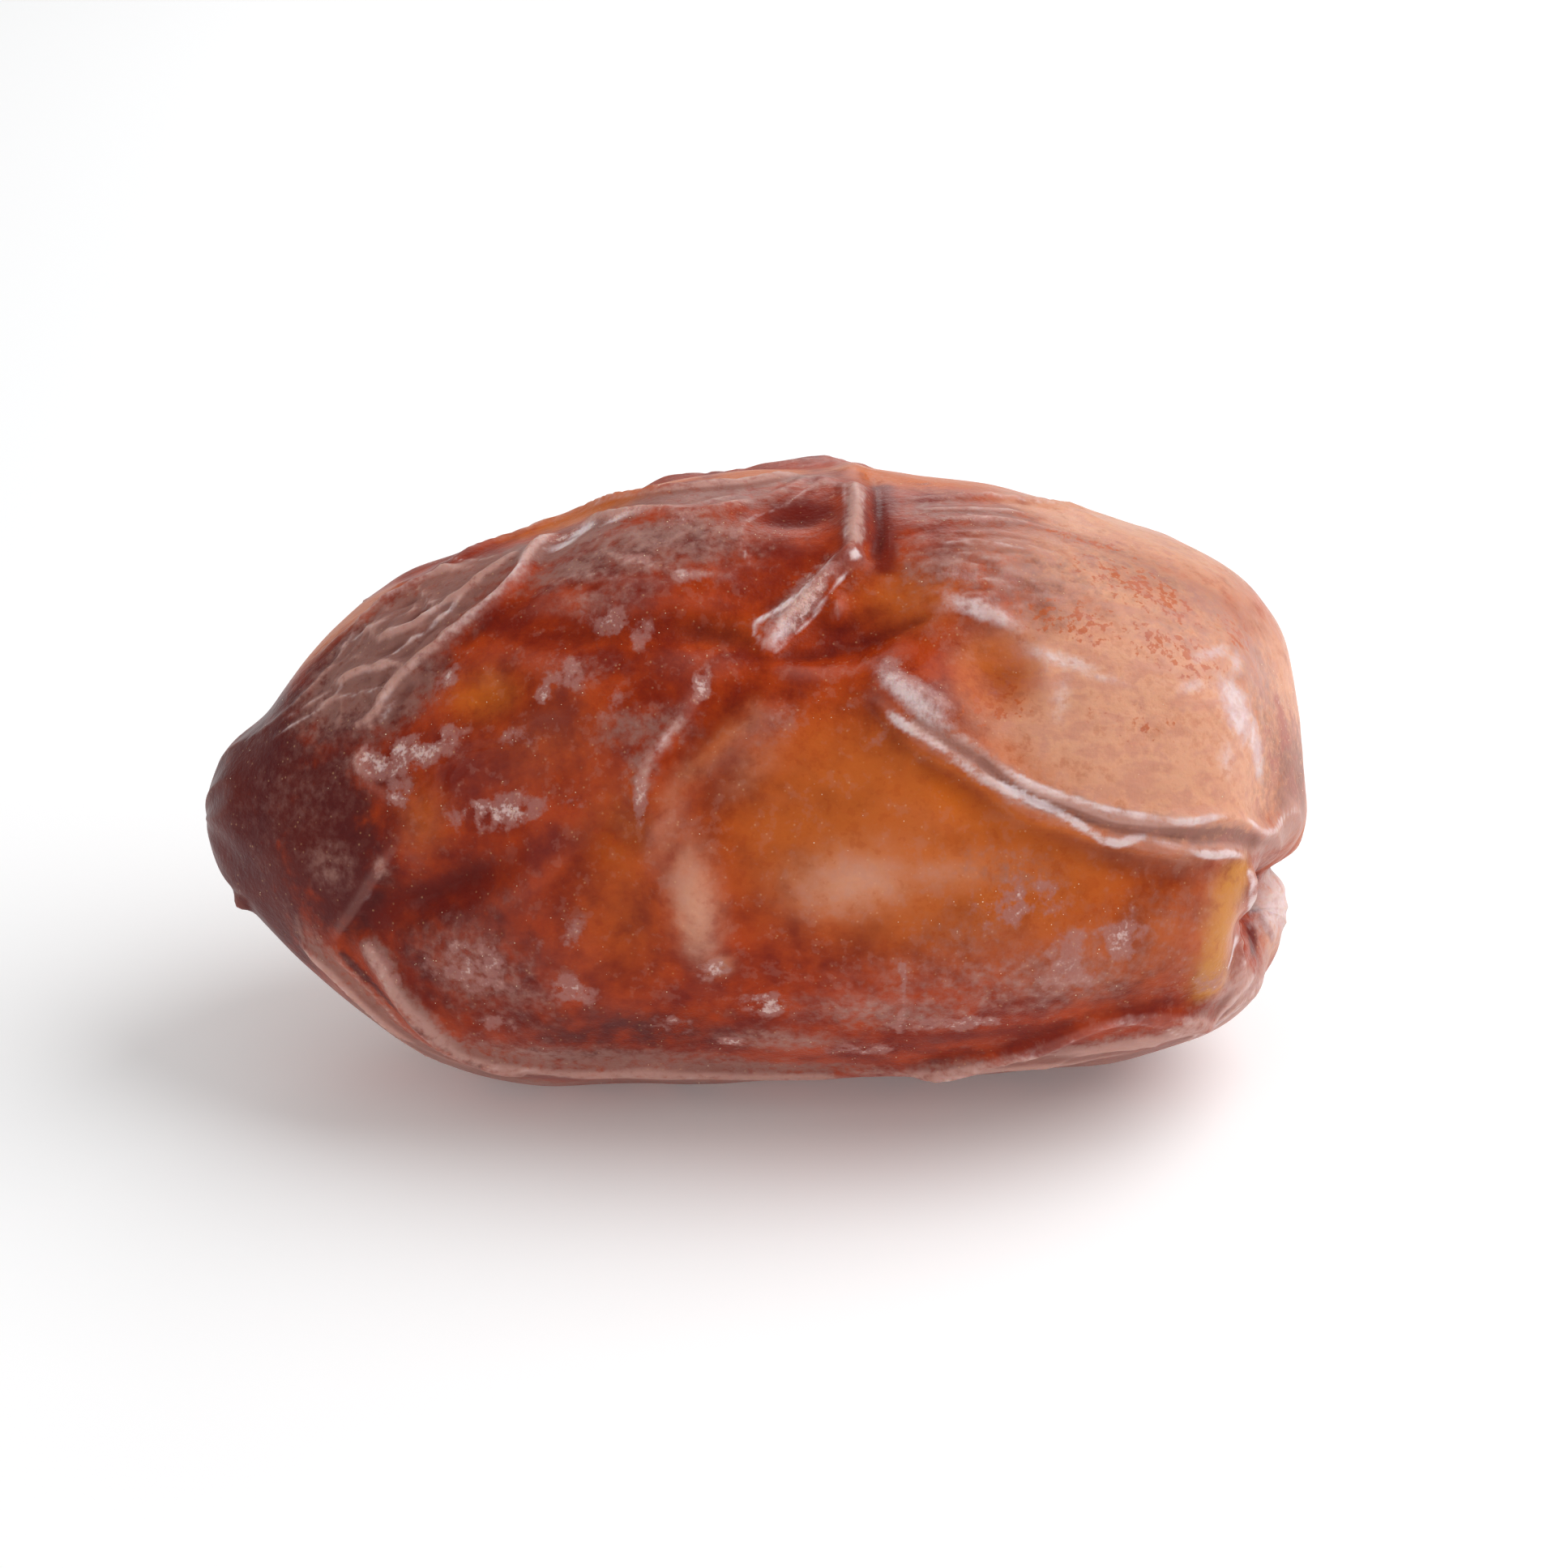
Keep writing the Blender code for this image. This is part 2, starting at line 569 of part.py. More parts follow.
def worked_skin():
    """The skin in the fruit's own frame, with every swell and fold in it."""
    skin = Skin(plain_form())
    heights = lump_heights(skin)
    for swell in SWELLS.values():
        heights += swell_heights(skin, swell)
    folds = np.zeros(len(skin.points))
    for fold in FOLDS.values():
        folds += fold_heights(skin, fold)
    folds += wrinkle_heights(skin)
    folds += pleat_heights(skin, skin.grid[-1, 0], STEM_PLEATS)
    folds += pleat_heights(skin, skin.grid[0, 0], TIP_PLEATS)
    skin.push(heights)
    skin.push(folds)
    return skin.grid


def rolled_and_pressed(grid):
    """Roll the fruit onto its belly and press that flat, with the resting plane at height 0."""
    roll = math.radians(-ROLL_DEG)
    y, z = grid[:, :, 1], grid[:, :, 2]
    lying = grid.copy()
    lying[:, :, 1] = y * math.cos(roll) - z * math.sin(roll)
    lying[:, :, 2] = y * math.sin(roll) + z * math.cos(roll)
    height = lying[:, :, 2] - (lying[:, :, 2].min() + PRESSED_DEPTH)
    soft = PRESS_SOFTNESS
    lying[:, :, 2] = soft * np.logaddexp(0.0, height / soft) - FLAT_SPOT_RISE
    middle = (lying.min(axis=(0, 1)) + lying.max(axis=(0, 1))) / 2
    lying[:, :, :2] -= middle[:2]
    return lying


def mesh_from(grid):
    """A closed mesh, in metres, of a grid whose first and last rings are single points."""
    inner = grid[1:-1].reshape(-1, 3)
    points = np.vstack([grid[0, :1], inner, grid[-1, :1]]) * MM
    rings, columns = grid.shape[0] - 2, grid.shape[1]
    last = len(points) - 1
    faces = []
    for column in range(columns):
        after = (column + 1) % columns
        faces.append((0, 1 + after, 1 + column))
        for ring in range(rings - 1):
            here, there = 1 + ring * columns, 1 + (ring + 1) * columns
            faces.append((here + column, here + after, there + after, there + column))
        end = 1 + (rings - 1) * columns
        faces.append((end + column, end + after, last))
    mesh = bpy.data.meshes.new("date_fruit")
    mesh.from_pydata([tuple(p) for p in points], [], faces)
    mesh.update()
    return mesh


def thinned(obj):
    """Fewer faces where the skin is smooth: the object's mesh with a Decimate modifier applied."""
    thin = obj.modifiers.new("thin", "DECIMATE")
    thin.ratio = KEPT_SHARE
    graph = bpy.context.evaluated_depsgraph_get()
    mesh = bpy.data.meshes.new_from_object(obj.evaluated_get(graph))
    obj.modifiers.clear()
    return mesh


def main_piece(work):
    """The vertices of the largest connected piece of a mesh."""
    left = set(work.verts)
    largest = set()
    while left:
        front = [left.pop()]
        piece = set(front)
        while front:
            near = {edge.other_vert(vert) for vert in front for edge in vert.link_edges} - piece
            piece |= near
            front = list(near)
        left -= piece
        largest = max(largest, piece, key=len)
    return largest


def cut_flat_spot(mesh):
    """Cut the pressed belly along the resting plane, and close it with one flat face."""
    work = bmesh.new()
    work.from_mesh(mesh)
    parts = work.verts[:] + work.edges[:] + work.faces[:]
    bmesh.ops.bisect_plane(
        work,
        geom=parts,
        dist=CUT_MERGE * MM,
        plane_co=Vector(),
        plane_no=Vector((0, 0, 1)),
        clear_inner=True,
    )
    kept = main_piece(work)
    bmesh.ops.delete(work, geom=[vert for vert in work.verts if vert not in kept], context="VERTS")
    rim = [edge for edge in work.edges if edge.is_boundary]
    bmesh.ops.edgeloop_fill(work, edges=rim)
    bmesh.ops.recalc_face_normals(work, faces=work.faces)
    work.to_mesh(mesh)
    work.free()
    mesh.update()


def skin_material():
    """The plain finish of the fruit's skin."""
    material = bpy.data.materials.new("date_skin")
    material.use_nodes = True
    surface = material.node_tree.nodes["Principled BSDF"]
    surface.inputs["Base Color"].default_value = FRUIT_COLOUR
    surface.inputs["Roughness"].default_value = FRUIT_ROUGHNESS
    surface.inputs["Metallic"].default_value = 0.0
    return material


def build_fruit():
    """The one object of the model."""
    rough = bpy.data.objects.new("date_fruit", mesh_from(rolled_and_pressed(worked_skin())))
    bpy.context.scene.collection.objects.link(rough)
    mesh = thinned(rough)
    cut_flat_spot(mesh)
    mesh.shade_smooth()
    mesh.materials.append(skin_material())
    rough.data = mesh
    return rough


clear_scene()
build_fruit()
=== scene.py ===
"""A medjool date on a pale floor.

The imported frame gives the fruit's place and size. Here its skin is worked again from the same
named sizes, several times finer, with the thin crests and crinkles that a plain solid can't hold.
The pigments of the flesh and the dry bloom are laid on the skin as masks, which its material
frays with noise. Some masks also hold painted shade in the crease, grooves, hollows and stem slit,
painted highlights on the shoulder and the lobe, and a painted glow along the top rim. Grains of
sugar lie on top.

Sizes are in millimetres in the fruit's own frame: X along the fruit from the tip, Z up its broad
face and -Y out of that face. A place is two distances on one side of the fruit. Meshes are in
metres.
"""

from __future__ import annotations

import logging
import math
from collections.abc import Iterable, Mapping
from dataclasses import dataclass, field
from enum import Enum

import bpy
import numpy as np
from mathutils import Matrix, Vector

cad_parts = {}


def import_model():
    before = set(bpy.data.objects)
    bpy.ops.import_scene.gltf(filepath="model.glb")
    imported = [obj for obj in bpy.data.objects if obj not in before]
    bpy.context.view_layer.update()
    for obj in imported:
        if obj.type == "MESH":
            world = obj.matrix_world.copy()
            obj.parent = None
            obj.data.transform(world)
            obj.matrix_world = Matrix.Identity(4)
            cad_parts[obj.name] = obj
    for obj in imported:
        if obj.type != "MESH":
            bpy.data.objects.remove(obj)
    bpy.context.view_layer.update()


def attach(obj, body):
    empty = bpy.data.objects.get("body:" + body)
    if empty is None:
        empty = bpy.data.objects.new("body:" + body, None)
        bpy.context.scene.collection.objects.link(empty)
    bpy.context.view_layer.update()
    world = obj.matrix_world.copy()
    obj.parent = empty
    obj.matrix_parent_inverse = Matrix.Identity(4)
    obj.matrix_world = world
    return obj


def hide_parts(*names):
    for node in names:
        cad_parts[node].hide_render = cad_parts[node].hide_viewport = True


LOG = logging.getLogger("medjool_date")

MM = 0.001
TINY = 1e-6
NODE = "date_fruit"
BODY = "root"
SLOT = "date_skin"
ROWS, COLUMNS = 340, 290
NOISE_CELLS = 256

Place = tuple[float, float]
Triple = tuple[float, float, float]
Colour = tuple[float, float, float, float]
Sizes = np.ndarray


def tone(red: int, green: int, blue: int) -> Colour:
    """Turn a colour as it looks in print, from 0 to 255, into linear light.

    Args:
        red: How red it looks.
        green: How green it looks.
        blue: How blue it looks.

    Returns:
        The same colour in linear light, opaque.
    """
    return (*(((part / 255 + 0.055) / 1.055) ** 2.4 for part in (red, green, blue)), 1.0)


class Side(Enum):
    """A side of the fruit: the two axes that its places are read along, and the way it faces."""

    FRONT = (0, 2, (0.0, -1.0, 0.0))
    BACK = (0, 2, (0.0, 1.0, 0.0))
    TOP = (0, 1, (0.0, 0.0, 1.0))
    BELLY = (0, 1, (0.0, 0.0, -1.0))
    STEM = (1, 2, (1.0, 0.0, 0.0))


class Pigment(Enum):
    """What colours the skin, by the name of the mask that holds it, in the order it is laid on."""

    AMBER = "amber"
    PEACH = "peach"
    # dark brown of the tip, and painted shade in the high dimple, on the lower-left side and in the
    # stem slit
    BROWN = "brown"
    MAUVE = "mauve"
    # orange flesh, and a painted glow of light through the thin top rim
    ORANGE = "orange"
    # deep red flesh, and painted shade in the crease, grooves, the high dimple and the stem slit
    DEEP = "deep"
    SPECKLE = "speckle"
    GOLD = "gold"
    # the dry bloom, and a painted highlight along the shoulder of the lobe
    BLOOM = "bloom"
    # pale crests of dry skin, and painted highlights and glints on the shoulder, a knot and the lobe
    CREST = "crest"


@dataclass(frozen=True)
class Swell:
    """A broad rise of the skin, or a hollow where its height is negative."""

    place: Place
    radii: Place
    turn_deg: float
    height: float
    side: Side = Side.FRONT


@dataclass(frozen=True)
class Fold:
    """A fold along a line: a crest or a groove, and a lip that lifts the skin on its left."""

    places: tuple[Place, ...]
    height: float
    width: float
    lip: float = 0.0
    reach: float = 1.0
    fade: float = 1.5
    wander: float = 0.1
    pale: float = 0.6
    side: Side = Side.FRONT


@dataclass(frozen=True)
class Crinkle:
    """A patch of skin that dried into small broken creases, seen from the front."""

    place: Place
    radii: Place
    turn_deg: float
    size: Place
    height: float


@dataclass(frozen=True)
class Patch:
    """A soft-edged patch of a pigment, as it is seen from one side."""

    place: Place
    radii: Place
    turn_deg: float = 0.0
    strength: float = 1.0
    plateau: float = 1.0
    side: Side = Side.FRONT


@dataclass(frozen=True)
class Stroke:
    """A line of a pigment, as it is seen from the front."""

    places: tuple[Place, ...]
    width: float
    strength: float = 1.0


class Grain(Enum):
    """How fine the noise is that frays an edge: features per millimetre, shift and octaves."""

    BROAD = (0.5, 3.0, 4.0)
    MIDDLE = (1.1, 17.0, 4.0)
    FINE = (2.6, 29.0, 3.0)
    PITS = (3.2, 53.0, 2.0)
    POWDER = (7.0, 41.0, 1.0)


@dataclass(frozen=True)
class Coat:
    """How one pigment looks, how much it covers, and how its edge is frayed."""

    colour: Colour
    cover: float
    grain: Grain
    fray: float
    edge: Place = (0.2, 0.8)


# Sections: distance from the tip, then top, bottom and axis heights, how far the skin reaches
# to the front and to the back, and how far the axis lies toward the front
SECTIONS = (
    (0.0, 1.0, 1.0, 1.0, 0.0, 0.0, 0.0),
    (1.3, 3.8, -1.9, 1.0, 2.9, 3.0, 0.0),
    (2.7, 5.3, -3.4, 1.1, 4.4, 4.5, 0.0),
    (4.3, 7.7, -4.9, 1.2, 5.9, 6.0, 0.0),
    (6.7, 9.8, -7.2, 1.4, 7.8, 7.7, 0.0),
    (9.3, 11.0, -8.9, 1.6, 9.3, 9.0, 0.0),
    (13.3, 12.6, -9.8, 1.9, 10.9, 10.4, 0.0),
    (18.7, 14.6, -9.8, 2.3, 12.0, 11.5, 0.0),
    (25.3, 15.2, -9.6, 2.7, 12.4, 12.0, 0.0),
    (31.0, 14.6, -9.4, 2.6, 12.3, 11.8, 0.0),
    (36.5, 13.5, -9.0, 2.2, 11.6, 11.2, 0.2),
    (40.5, 12.0, -8.0, 1.2, 10.1, 9.8, 0.8),
    (43.0, 9.8, -6.0, -0.2, 7.3, 7.4, 1.8),
    (44.4, 6.7, -4.3, -1.6, 5.2, 4.6, 2.4),
    (45.0, -2.6, -2.6, -2.6, 3.0, -3.0, 3.0),
)

# The swells and the folds that the solid has too
SWELLS = {
    "stem_end_lobe": Swell((38.9, 6.2), (6.0, 4.4), -12.0, 0.85),
    "lobe_hollow": Swell((31.9, 6.3), (1.8, 2.0), 20.0, -0.6),
    "pucker": Swell((24.8, 8.8), (3.4, 2.6), 0.0, -0.85),
    "pucker_left": Swell((21.0, 8.4), (2.2, 0.9), -14.0, -0.4),
    "pucker_right": Swell((26.7, 8.9), (1.7, 1.1), 24.0, -0.22),
    "pucker_knot": Swell((26.6, 11.4), (0.5, 0.4), 0.0, 0.25),
    "high_dimple": Swell((24.2, 13.2), (1.6, 1.1), 0.0, -0.38),
    "crease_root": Swell((27.5, 11.6), (1.0, 2.4), 0.0, -0.2),
    "middle_swell": Swell((27.4, 0.6), (5.2, 3.0), -12.0, 0.55),
    "low_swell": Swell((33.6, -4.2), (6.6, 2.4), 3.0, 0.55),
    "left_valley": Swell((10.6, -1.6), (3.0, 1.2), 24.0, -0.75),
    "slant_valley": Swell((20.8, 4.4), (3.2, 1.1), 50.0, -0.4),
    "peach_bar": Swell((20.4, -2.3), (1.0, 2.5), 8.0, 0.5),
    "peach_mound": Swell((26.4, -1.6), (2.3, 1.5), 8.0, 0.35),
    "bar_valley": Swell((17.6, -2.6), (1.0, 2.6), 0.0, -0.3),
    "left_hollow": Swell((12.4, 6.0), (1.9, 1.3), 10.0, -0.5),
    "upper_hollow": Swell((15.4, 8.4), (2.6, 1.0), -8.0, -0.5),
    "low_left_hollow": Swell((12.0, -6.0), (3.4, 1.9), -18.0, -0.35),
    "tip_knob": Swell((4.2, 0.8), (2.6, 3.4), 0.0, 0.3),
    "foot_roll": Swell((37.6, -7.6), (4.0, 1.2), 4.0, 0.45),
    "style_nub": Swell((1.7, -2.3), (0.4, 0.35), 0.0, 0.4),
    "back_furrow": Swell((19.0, 4.4), (9.0, 1.5), 9.0, -1.2, Side.BACK),
    "back_low_furrow": Swell((30.5, -1.6), (7.5, 1.3), -7.0, -0.95, Side.BACK),
    "back_shoulder": Swell((31.0, 6.2), (5.6, 3.2), -6.0, 0.7, Side.BACK),
    "back_tip_hollow": Swell((8.6, 1.0), (2.8, 1.7), -20.0, -0.7, Side.BACK),
    "back_low_swell": Swell((16.0, -3.0), (6.0, 2.6), 6.0, 0.6, Side.BACK),
    "back_stem_hollow": Swell((39.0, 3.2), (2.4, 1.6), 14.0, -0.65, Side.BACK),
    "top_furrow": Swell((14.5, 3.6), (5.0, 1.2), 10.0, -0.7, Side.TOP),
    "top_stem_furrow": Swell((34.5, 2.8), (5.6, 1.1), -8.0, -0.55, Side.TOP),
    "stem_cavity": Swell((-4.0, -2.9), (2.0, 2.2), 0.0, -4.6, Side.STEM),
    "stem_bite": Swell((-6.4, -3.2), (2.0, 2.4), 0.0, -1.7, Side.STEM),
    "stem_scar": Swell((-4.0, -2.9), (0.9, 0.9), 0.0, 0.3, Side.STEM),
    "stem_low_lobe": Swell((1.6, -3.4), (3.6, 2.4), 0.0, -0.75, Side.STEM),
}

FOLDS = {
    "lobe_edge": Fold(
        (
            (26.0, 6.3), (27.6, 5.2), (29.2, 3.8), (30.9, 2.7), (32.9, 1.3),
            (34.9, 0.6), (36.5, 0.1), (38.2, -0.2), (39.9, -0.4), (41.9, -0.5),
        ),
        0.22, 0.36, lip=0.42, reach=4.2, fade=4.0, pale=0.2,
    ),
    "lobe_line": Fold(
        (
            (29.7, 4.6), (31.2, 3.7), (32.5, 2.6), (34.2, 1.8), (35.9, 1.3),
            (37.5, 1.0), (39.2, 1.1), (41.2, 1.0), (42.7, 0.5), (43.6, 1.0),
        ),
        0.2, 0.32, pale=0.35,
    ),
    "lobe_channel": Fold(
        ((31.0, 3.3), (33.5, 1.7), (36.0, 0.8), (38.5, 0.4), (41.0, 0.3), (42.7, 0.0)),
        -0.18, 0.34, pale=0.0,
    ),
    "lobe_foot": Fold(
        ((28.6, 3.3), (30.4, 1.8), (32.5, 0.4), (34.8, -0.4), (37.0, -0.9), (39.5, -1.3), (41.4, -1.4)),
        -0.15, 0.9, pale=0.0,
    ),
    "end_cleft": Fold(
        ((-3.0, -1.2), (0.0, -1.1), (3.4, -1.2), (6.0, -0.9), (8.0, -0.4)),
        -1.1, 0.6, fade=2.5, side=Side.STEM,
    ),
    "pucker_ridge": Fold(
        (
            (22.9, 7.5), (23.4, 8.7), (24.4, 9.7), (25.4, 10.6), (26.3, 11.5),
            (26.6, 12.6), (26.7, 13.6), (26.6, 14.6),
        ),
        0.5, 0.44, pale=0.3,
    ),
    "pucker_spur": Fold(((25.8, 10.2), (25.8, 9.5), (25.8, 8.9)), 0.4, 0.3, pale=0.9),
    "pucker_end": Fold(
        ((26.6, -3.6), (26.3, 0.0), (25.2, 2.6)), 0.25, 0.6, fade=3.0, pale=0.1, side=Side.TOP
    ),
    "top_crease": Fold(
        ((27.2, 11.2), (27.5, 12.4), (27.5, 13.6), (27.3, 15.0)),
        -0.22, 0.4,
    ),
    "pucker_groove": Fold(
        ((23.0, 7.6), (24.7, 7.5), (26.4, 7.9), (28.2, 8.6), (30.2, 9.1)),
        -0.16, 0.5,
    ),
    "pucker_rim": Fold(
        ((22.9, 7.2), (25.0, 6.8), (26.3, 6.8), (27.8, 7.2), (28.9, 7.9)),
        0.2, 0.5, pale=0.2,
    ),
    "dimple_rim": Fold(
        ((22.9, 13.8), (23.9, 14.4), (25.0, 14.8), (25.8, 14.3)),
        0.12, 0.4, pale=0.1,
    ),
    # The shoulder's pale crest is partly a painted highlight along its lit top
    "shoulder": Fold(
        ((26.8, 6.4), (27.9, 6.3), (29.1, 5.7), (30.4, 4.7)), 0.45, 0.6, pale=0.7
    ),
    "hollow_rim": Fold(
        ((29.0, 8.3), (30.4, 9.2), (31.7, 8.9), (32.8, 8.1), (33.7, 7.3), (33.9, 6.2), (34.0, 5.2)),
        0.24, 0.5, pale=0.25,
    ),
    "left_edge": Fold(
        (
            (14.7, 12.6), (13.9, 11.8), (13.4, 10.6), (12.6, 9.6), (11.1, 8.6),
            (9.6, 7.6), (8.2, 6.2), (7.2, 4.8), (6.4, 4.6),
        ),
        0.36, 0.42, lip=-0.3, reach=1.6, pale=0.25,
    ),
    "left_second": Fold(
        ((13.3, 11.6), (11.7, 10.3), (10.2, 9.3), (8.7, 8.6), (7.0, 8.2)),
        0.28, 0.4, pale=0.2,
    ),
    "left_third": Fold(
        ((11.5, 11.2), (9.8, 10.6), (8.4, 10.0), (7.0, 9.4)), 0.3, 0.38, pale=0.5
    ),
    "left_fourth": Fold(((8.8, 7.2), (7.0, 6.9), (5.6, 6.3)), 0.3, 0.36, pale=0.5),
    "top_line": Fold(
        ((10.2, 11.0), (12.9, 12.4), (15.3, 13.5), (18.2, 14.0), (21.5, 14.5), (24.6, 15.0)),
        0.35, 0.42, pale=0.36,
    ),
    "top_second": Fold(
        ((15.6, 12.8), (18.2, 13.1), (20.8, 13.2), (22.6, 13.9)), 0.25, 0.36, pale=0.24
    ),
    "spike": Fold(
        ((20.6, 6.2), (19.5, 4.4), (18.5, 3.1), (18.1, 1.2)), 0.26, 0.5, pale=0.2
    ),
    "slant_ridge": Fold(
        ((24.0, 5.6), (21.9, 3.8), (19.9, 1.8), (18.8, 0.2), (19.0, -1.6)),
        0.2, 0.9, pale=0.0,
    ),
    "tip_edge": Fold(
        ((8.5, -0.1), (7.6, -1.6), (6.6, -3.0), (5.8, -3.9)),
        0.2, 0.35, lip=-0.3, reach=1.8, pale=0.2,
    ),
    "tip_upper_edge": Fold(
        ((7.3, 4.4), (6.9, 3.4), (7.5, 2.4), (9.0, 1.6)), 0.25, 0.4, pale=0.2
    ),
    "low_left_band": Fold(
        ((6.4, -3.4), (7.6, -4.6), (8.6, -5.9), (9.6, -7.1), (11.2, -8.4), (13.4, -9.1)),
        0.4, 0.62, pale=0.2,
    ),
    "low_left_line": Fold(
        ((4.2, -3.9), (6.0, -5.3), (7.3, -6.7), (9.0, -8.1)), 0.3, 0.35, pale=0.4
    ),
    "foot_fold": Fold(
        (
            (29.0, -9.0), (31.2, -8.6), (33.3, -8.0), (35.2, -7.2), (36.6, -6.6),
            (38.2, -6.5), (40.0, -6.8), (41.2, -7.2),
        ),
        0.34, 0.5, lip=-0.25, reach=1.6, pale=0.3,
    ),
    "end_low_edge": Fold(
        ((39.6, -7.6), (41.1, -6.8), (42.0, -6.1), (43.0, -5.5), (43.8, -4.9)),
        0.25, 0.36, fade=4.0, pale=0.9,
    ),
    "stem_lip": Fold(
        ((41.9, -0.7), (42.3, -1.3), (42.5, -2.4), (42.4, -3.7), (42.2, -5.0), (42.3, -5.8)),
        0.35, 0.36, pale=0.5,
    ),
    "end_strut": Fold(
        ((-1.6, -1.6), (-2.2, -2.6), (-2.1, -3.6), (-1.2, -4.8)), 0.3, 0.45, pale=0.6, side=Side.STEM
    ),
    "back_long_fold": Fold(
        ((5.0, 3.6), (10.5, 5.2), (16.0, 6.6), (22.0, 7.2), (28.0, 8.4), (34.0, 8.0), (40.0, 6.0)),
        0.6, 0.75, lip=0.4, reach=2.4, fade=6.0, wander=0.45, pale=0.2, side=Side.BACK,
    ),
    "back_middle_fold": Fold(
        ((10.0, 2.4), (15.0, 1.7), (21.0, 2.6), (27.0, 2.0), (33.0, 0.2)),
        0.65, 0.8, fade=6.0, wander=0.5, pale=0.2, side=Side.BACK,
    ),
    "back_low_fold": Fold(
        ((7.0, -3.0), (14.0, -5.6), (20.0, -5.4), (26.0, -4.2), (32.0, -4.6), (40.0, -2.6)),
        0.55, 0.75, lip=-0.3, reach=2.0, fade=6.0, wander=0.45, pale=0.2, side=Side.BACK,
    ),
    "back_cross_fold": Fold(
        ((24.0, 8.8), (25.6, 5.2), (24.8, 2.4), (26.6, -1.4)),
        -0.55, 0.7, fade=3.0, wander=0.4, side=Side.BACK,
    ),
    "back_stem_fold": Fold(
        ((32.0, 3.6), (36.0, 1.8), (40.0, 0.4), (43.0, -0.6)),
        -0.7, 0.6, fade=4.0, wander=0.3, side=Side.BACK,
    ),
    "back_tip_fold": Fold(
        ((2.4, 1.8), (6.4, 0.2), (9.6, 0.0), (13.4, -1.4)),
        -0.5, 0.5, fade=3.0, wander=0.3, side=Side.BACK,
    ),
    "top_long_fold": Fold(
        ((5.0, 1.8), (11.0, 0.6), (18.0, 2.6), (24.0, 1.6), (30.0, 3.2), (38.0, 2.0)),
        0.5, 0.7, fade=6.0, wander=0.5, pale=0.2, side=Side.TOP,
    ),
    "top_back_fold": Fold(
        ((10.0, 6.6), (18.0, 5.4), (25.0, 6.6), (32.0, 6.0), (39.0, 4.4)),
        0.5, 0.7, fade=6.0, wander=0.5, pale=0.2, side=Side.TOP,
    ),
    "belly_front_fold": Fold(
        ((8.0, -3.2), (17.0, -4.4), (25.0, -3.8), (33.0, -4.6), (40.0, -3.0)),
        0.35, 0.7, fade=6.0, wander=0.4, pale=0.3, side=Side.BELLY,
    ),
}


@dataclass(frozen=True)
class WrinkleRows:
    """Fine wrinkles from the crease towards the stem end, one below the other.

    Each is a little shorter, lower and steeper than the one above it. So that they look grown, the
    starts come and go by uneven_starts, every second one is shorter, and their pales differ.
    """

    count: int = 10
    first: Place = (28.3, 14.0)
    apart: float = 0.53
    uneven_starts: Place = (0.25, 0.3)
    length: float = 7.8
    shorter: float = 0.4
    second_shorter: float = 1.2
    slope: float = 0.35 / 6
    steeper: float = 0.13 / 6
    droop: float = 1.6
    stops: tuple[float, ...] = (0.0, 0.3, 0.65, 1.0)
    height: float = 0.17
    lower: float = 0.006
    width: float = 0.26
    fade: float = 2.6
    wander: float = 0.3
    pales: Place = (0.26, 0.12)

    def folds(self) -> dict[str, Fold]:
        """Place the wrinkles.

        Returns:
            The wrinkles by name, from the top one down.
        """
        rows = {}
        start, top = self.first
        by_three, by_four = self.uneven_starts
        palest, step = self.pales
        for row in range(self.count):
            begin = start + by_three * (row % 3) + by_four * (5 * row % 4)
            high = top - self.apart * row
            long = self.length - self.shorter * row - self.second_shorter * (row % 2)
            drop = (self.slope + self.steeper * row) * long
            rows[f"crease_wrinkle_{row + 1}"] = Fold(
                tuple((begin + long * stop, high - drop * stop**self.droop) for stop in self.stops),
                self.height - self.lower * row,
                self.width,
                fade=self.fade,
                wander=self.wander,
                pale=palest + step * (5 * row % 3),
            )
        return rows


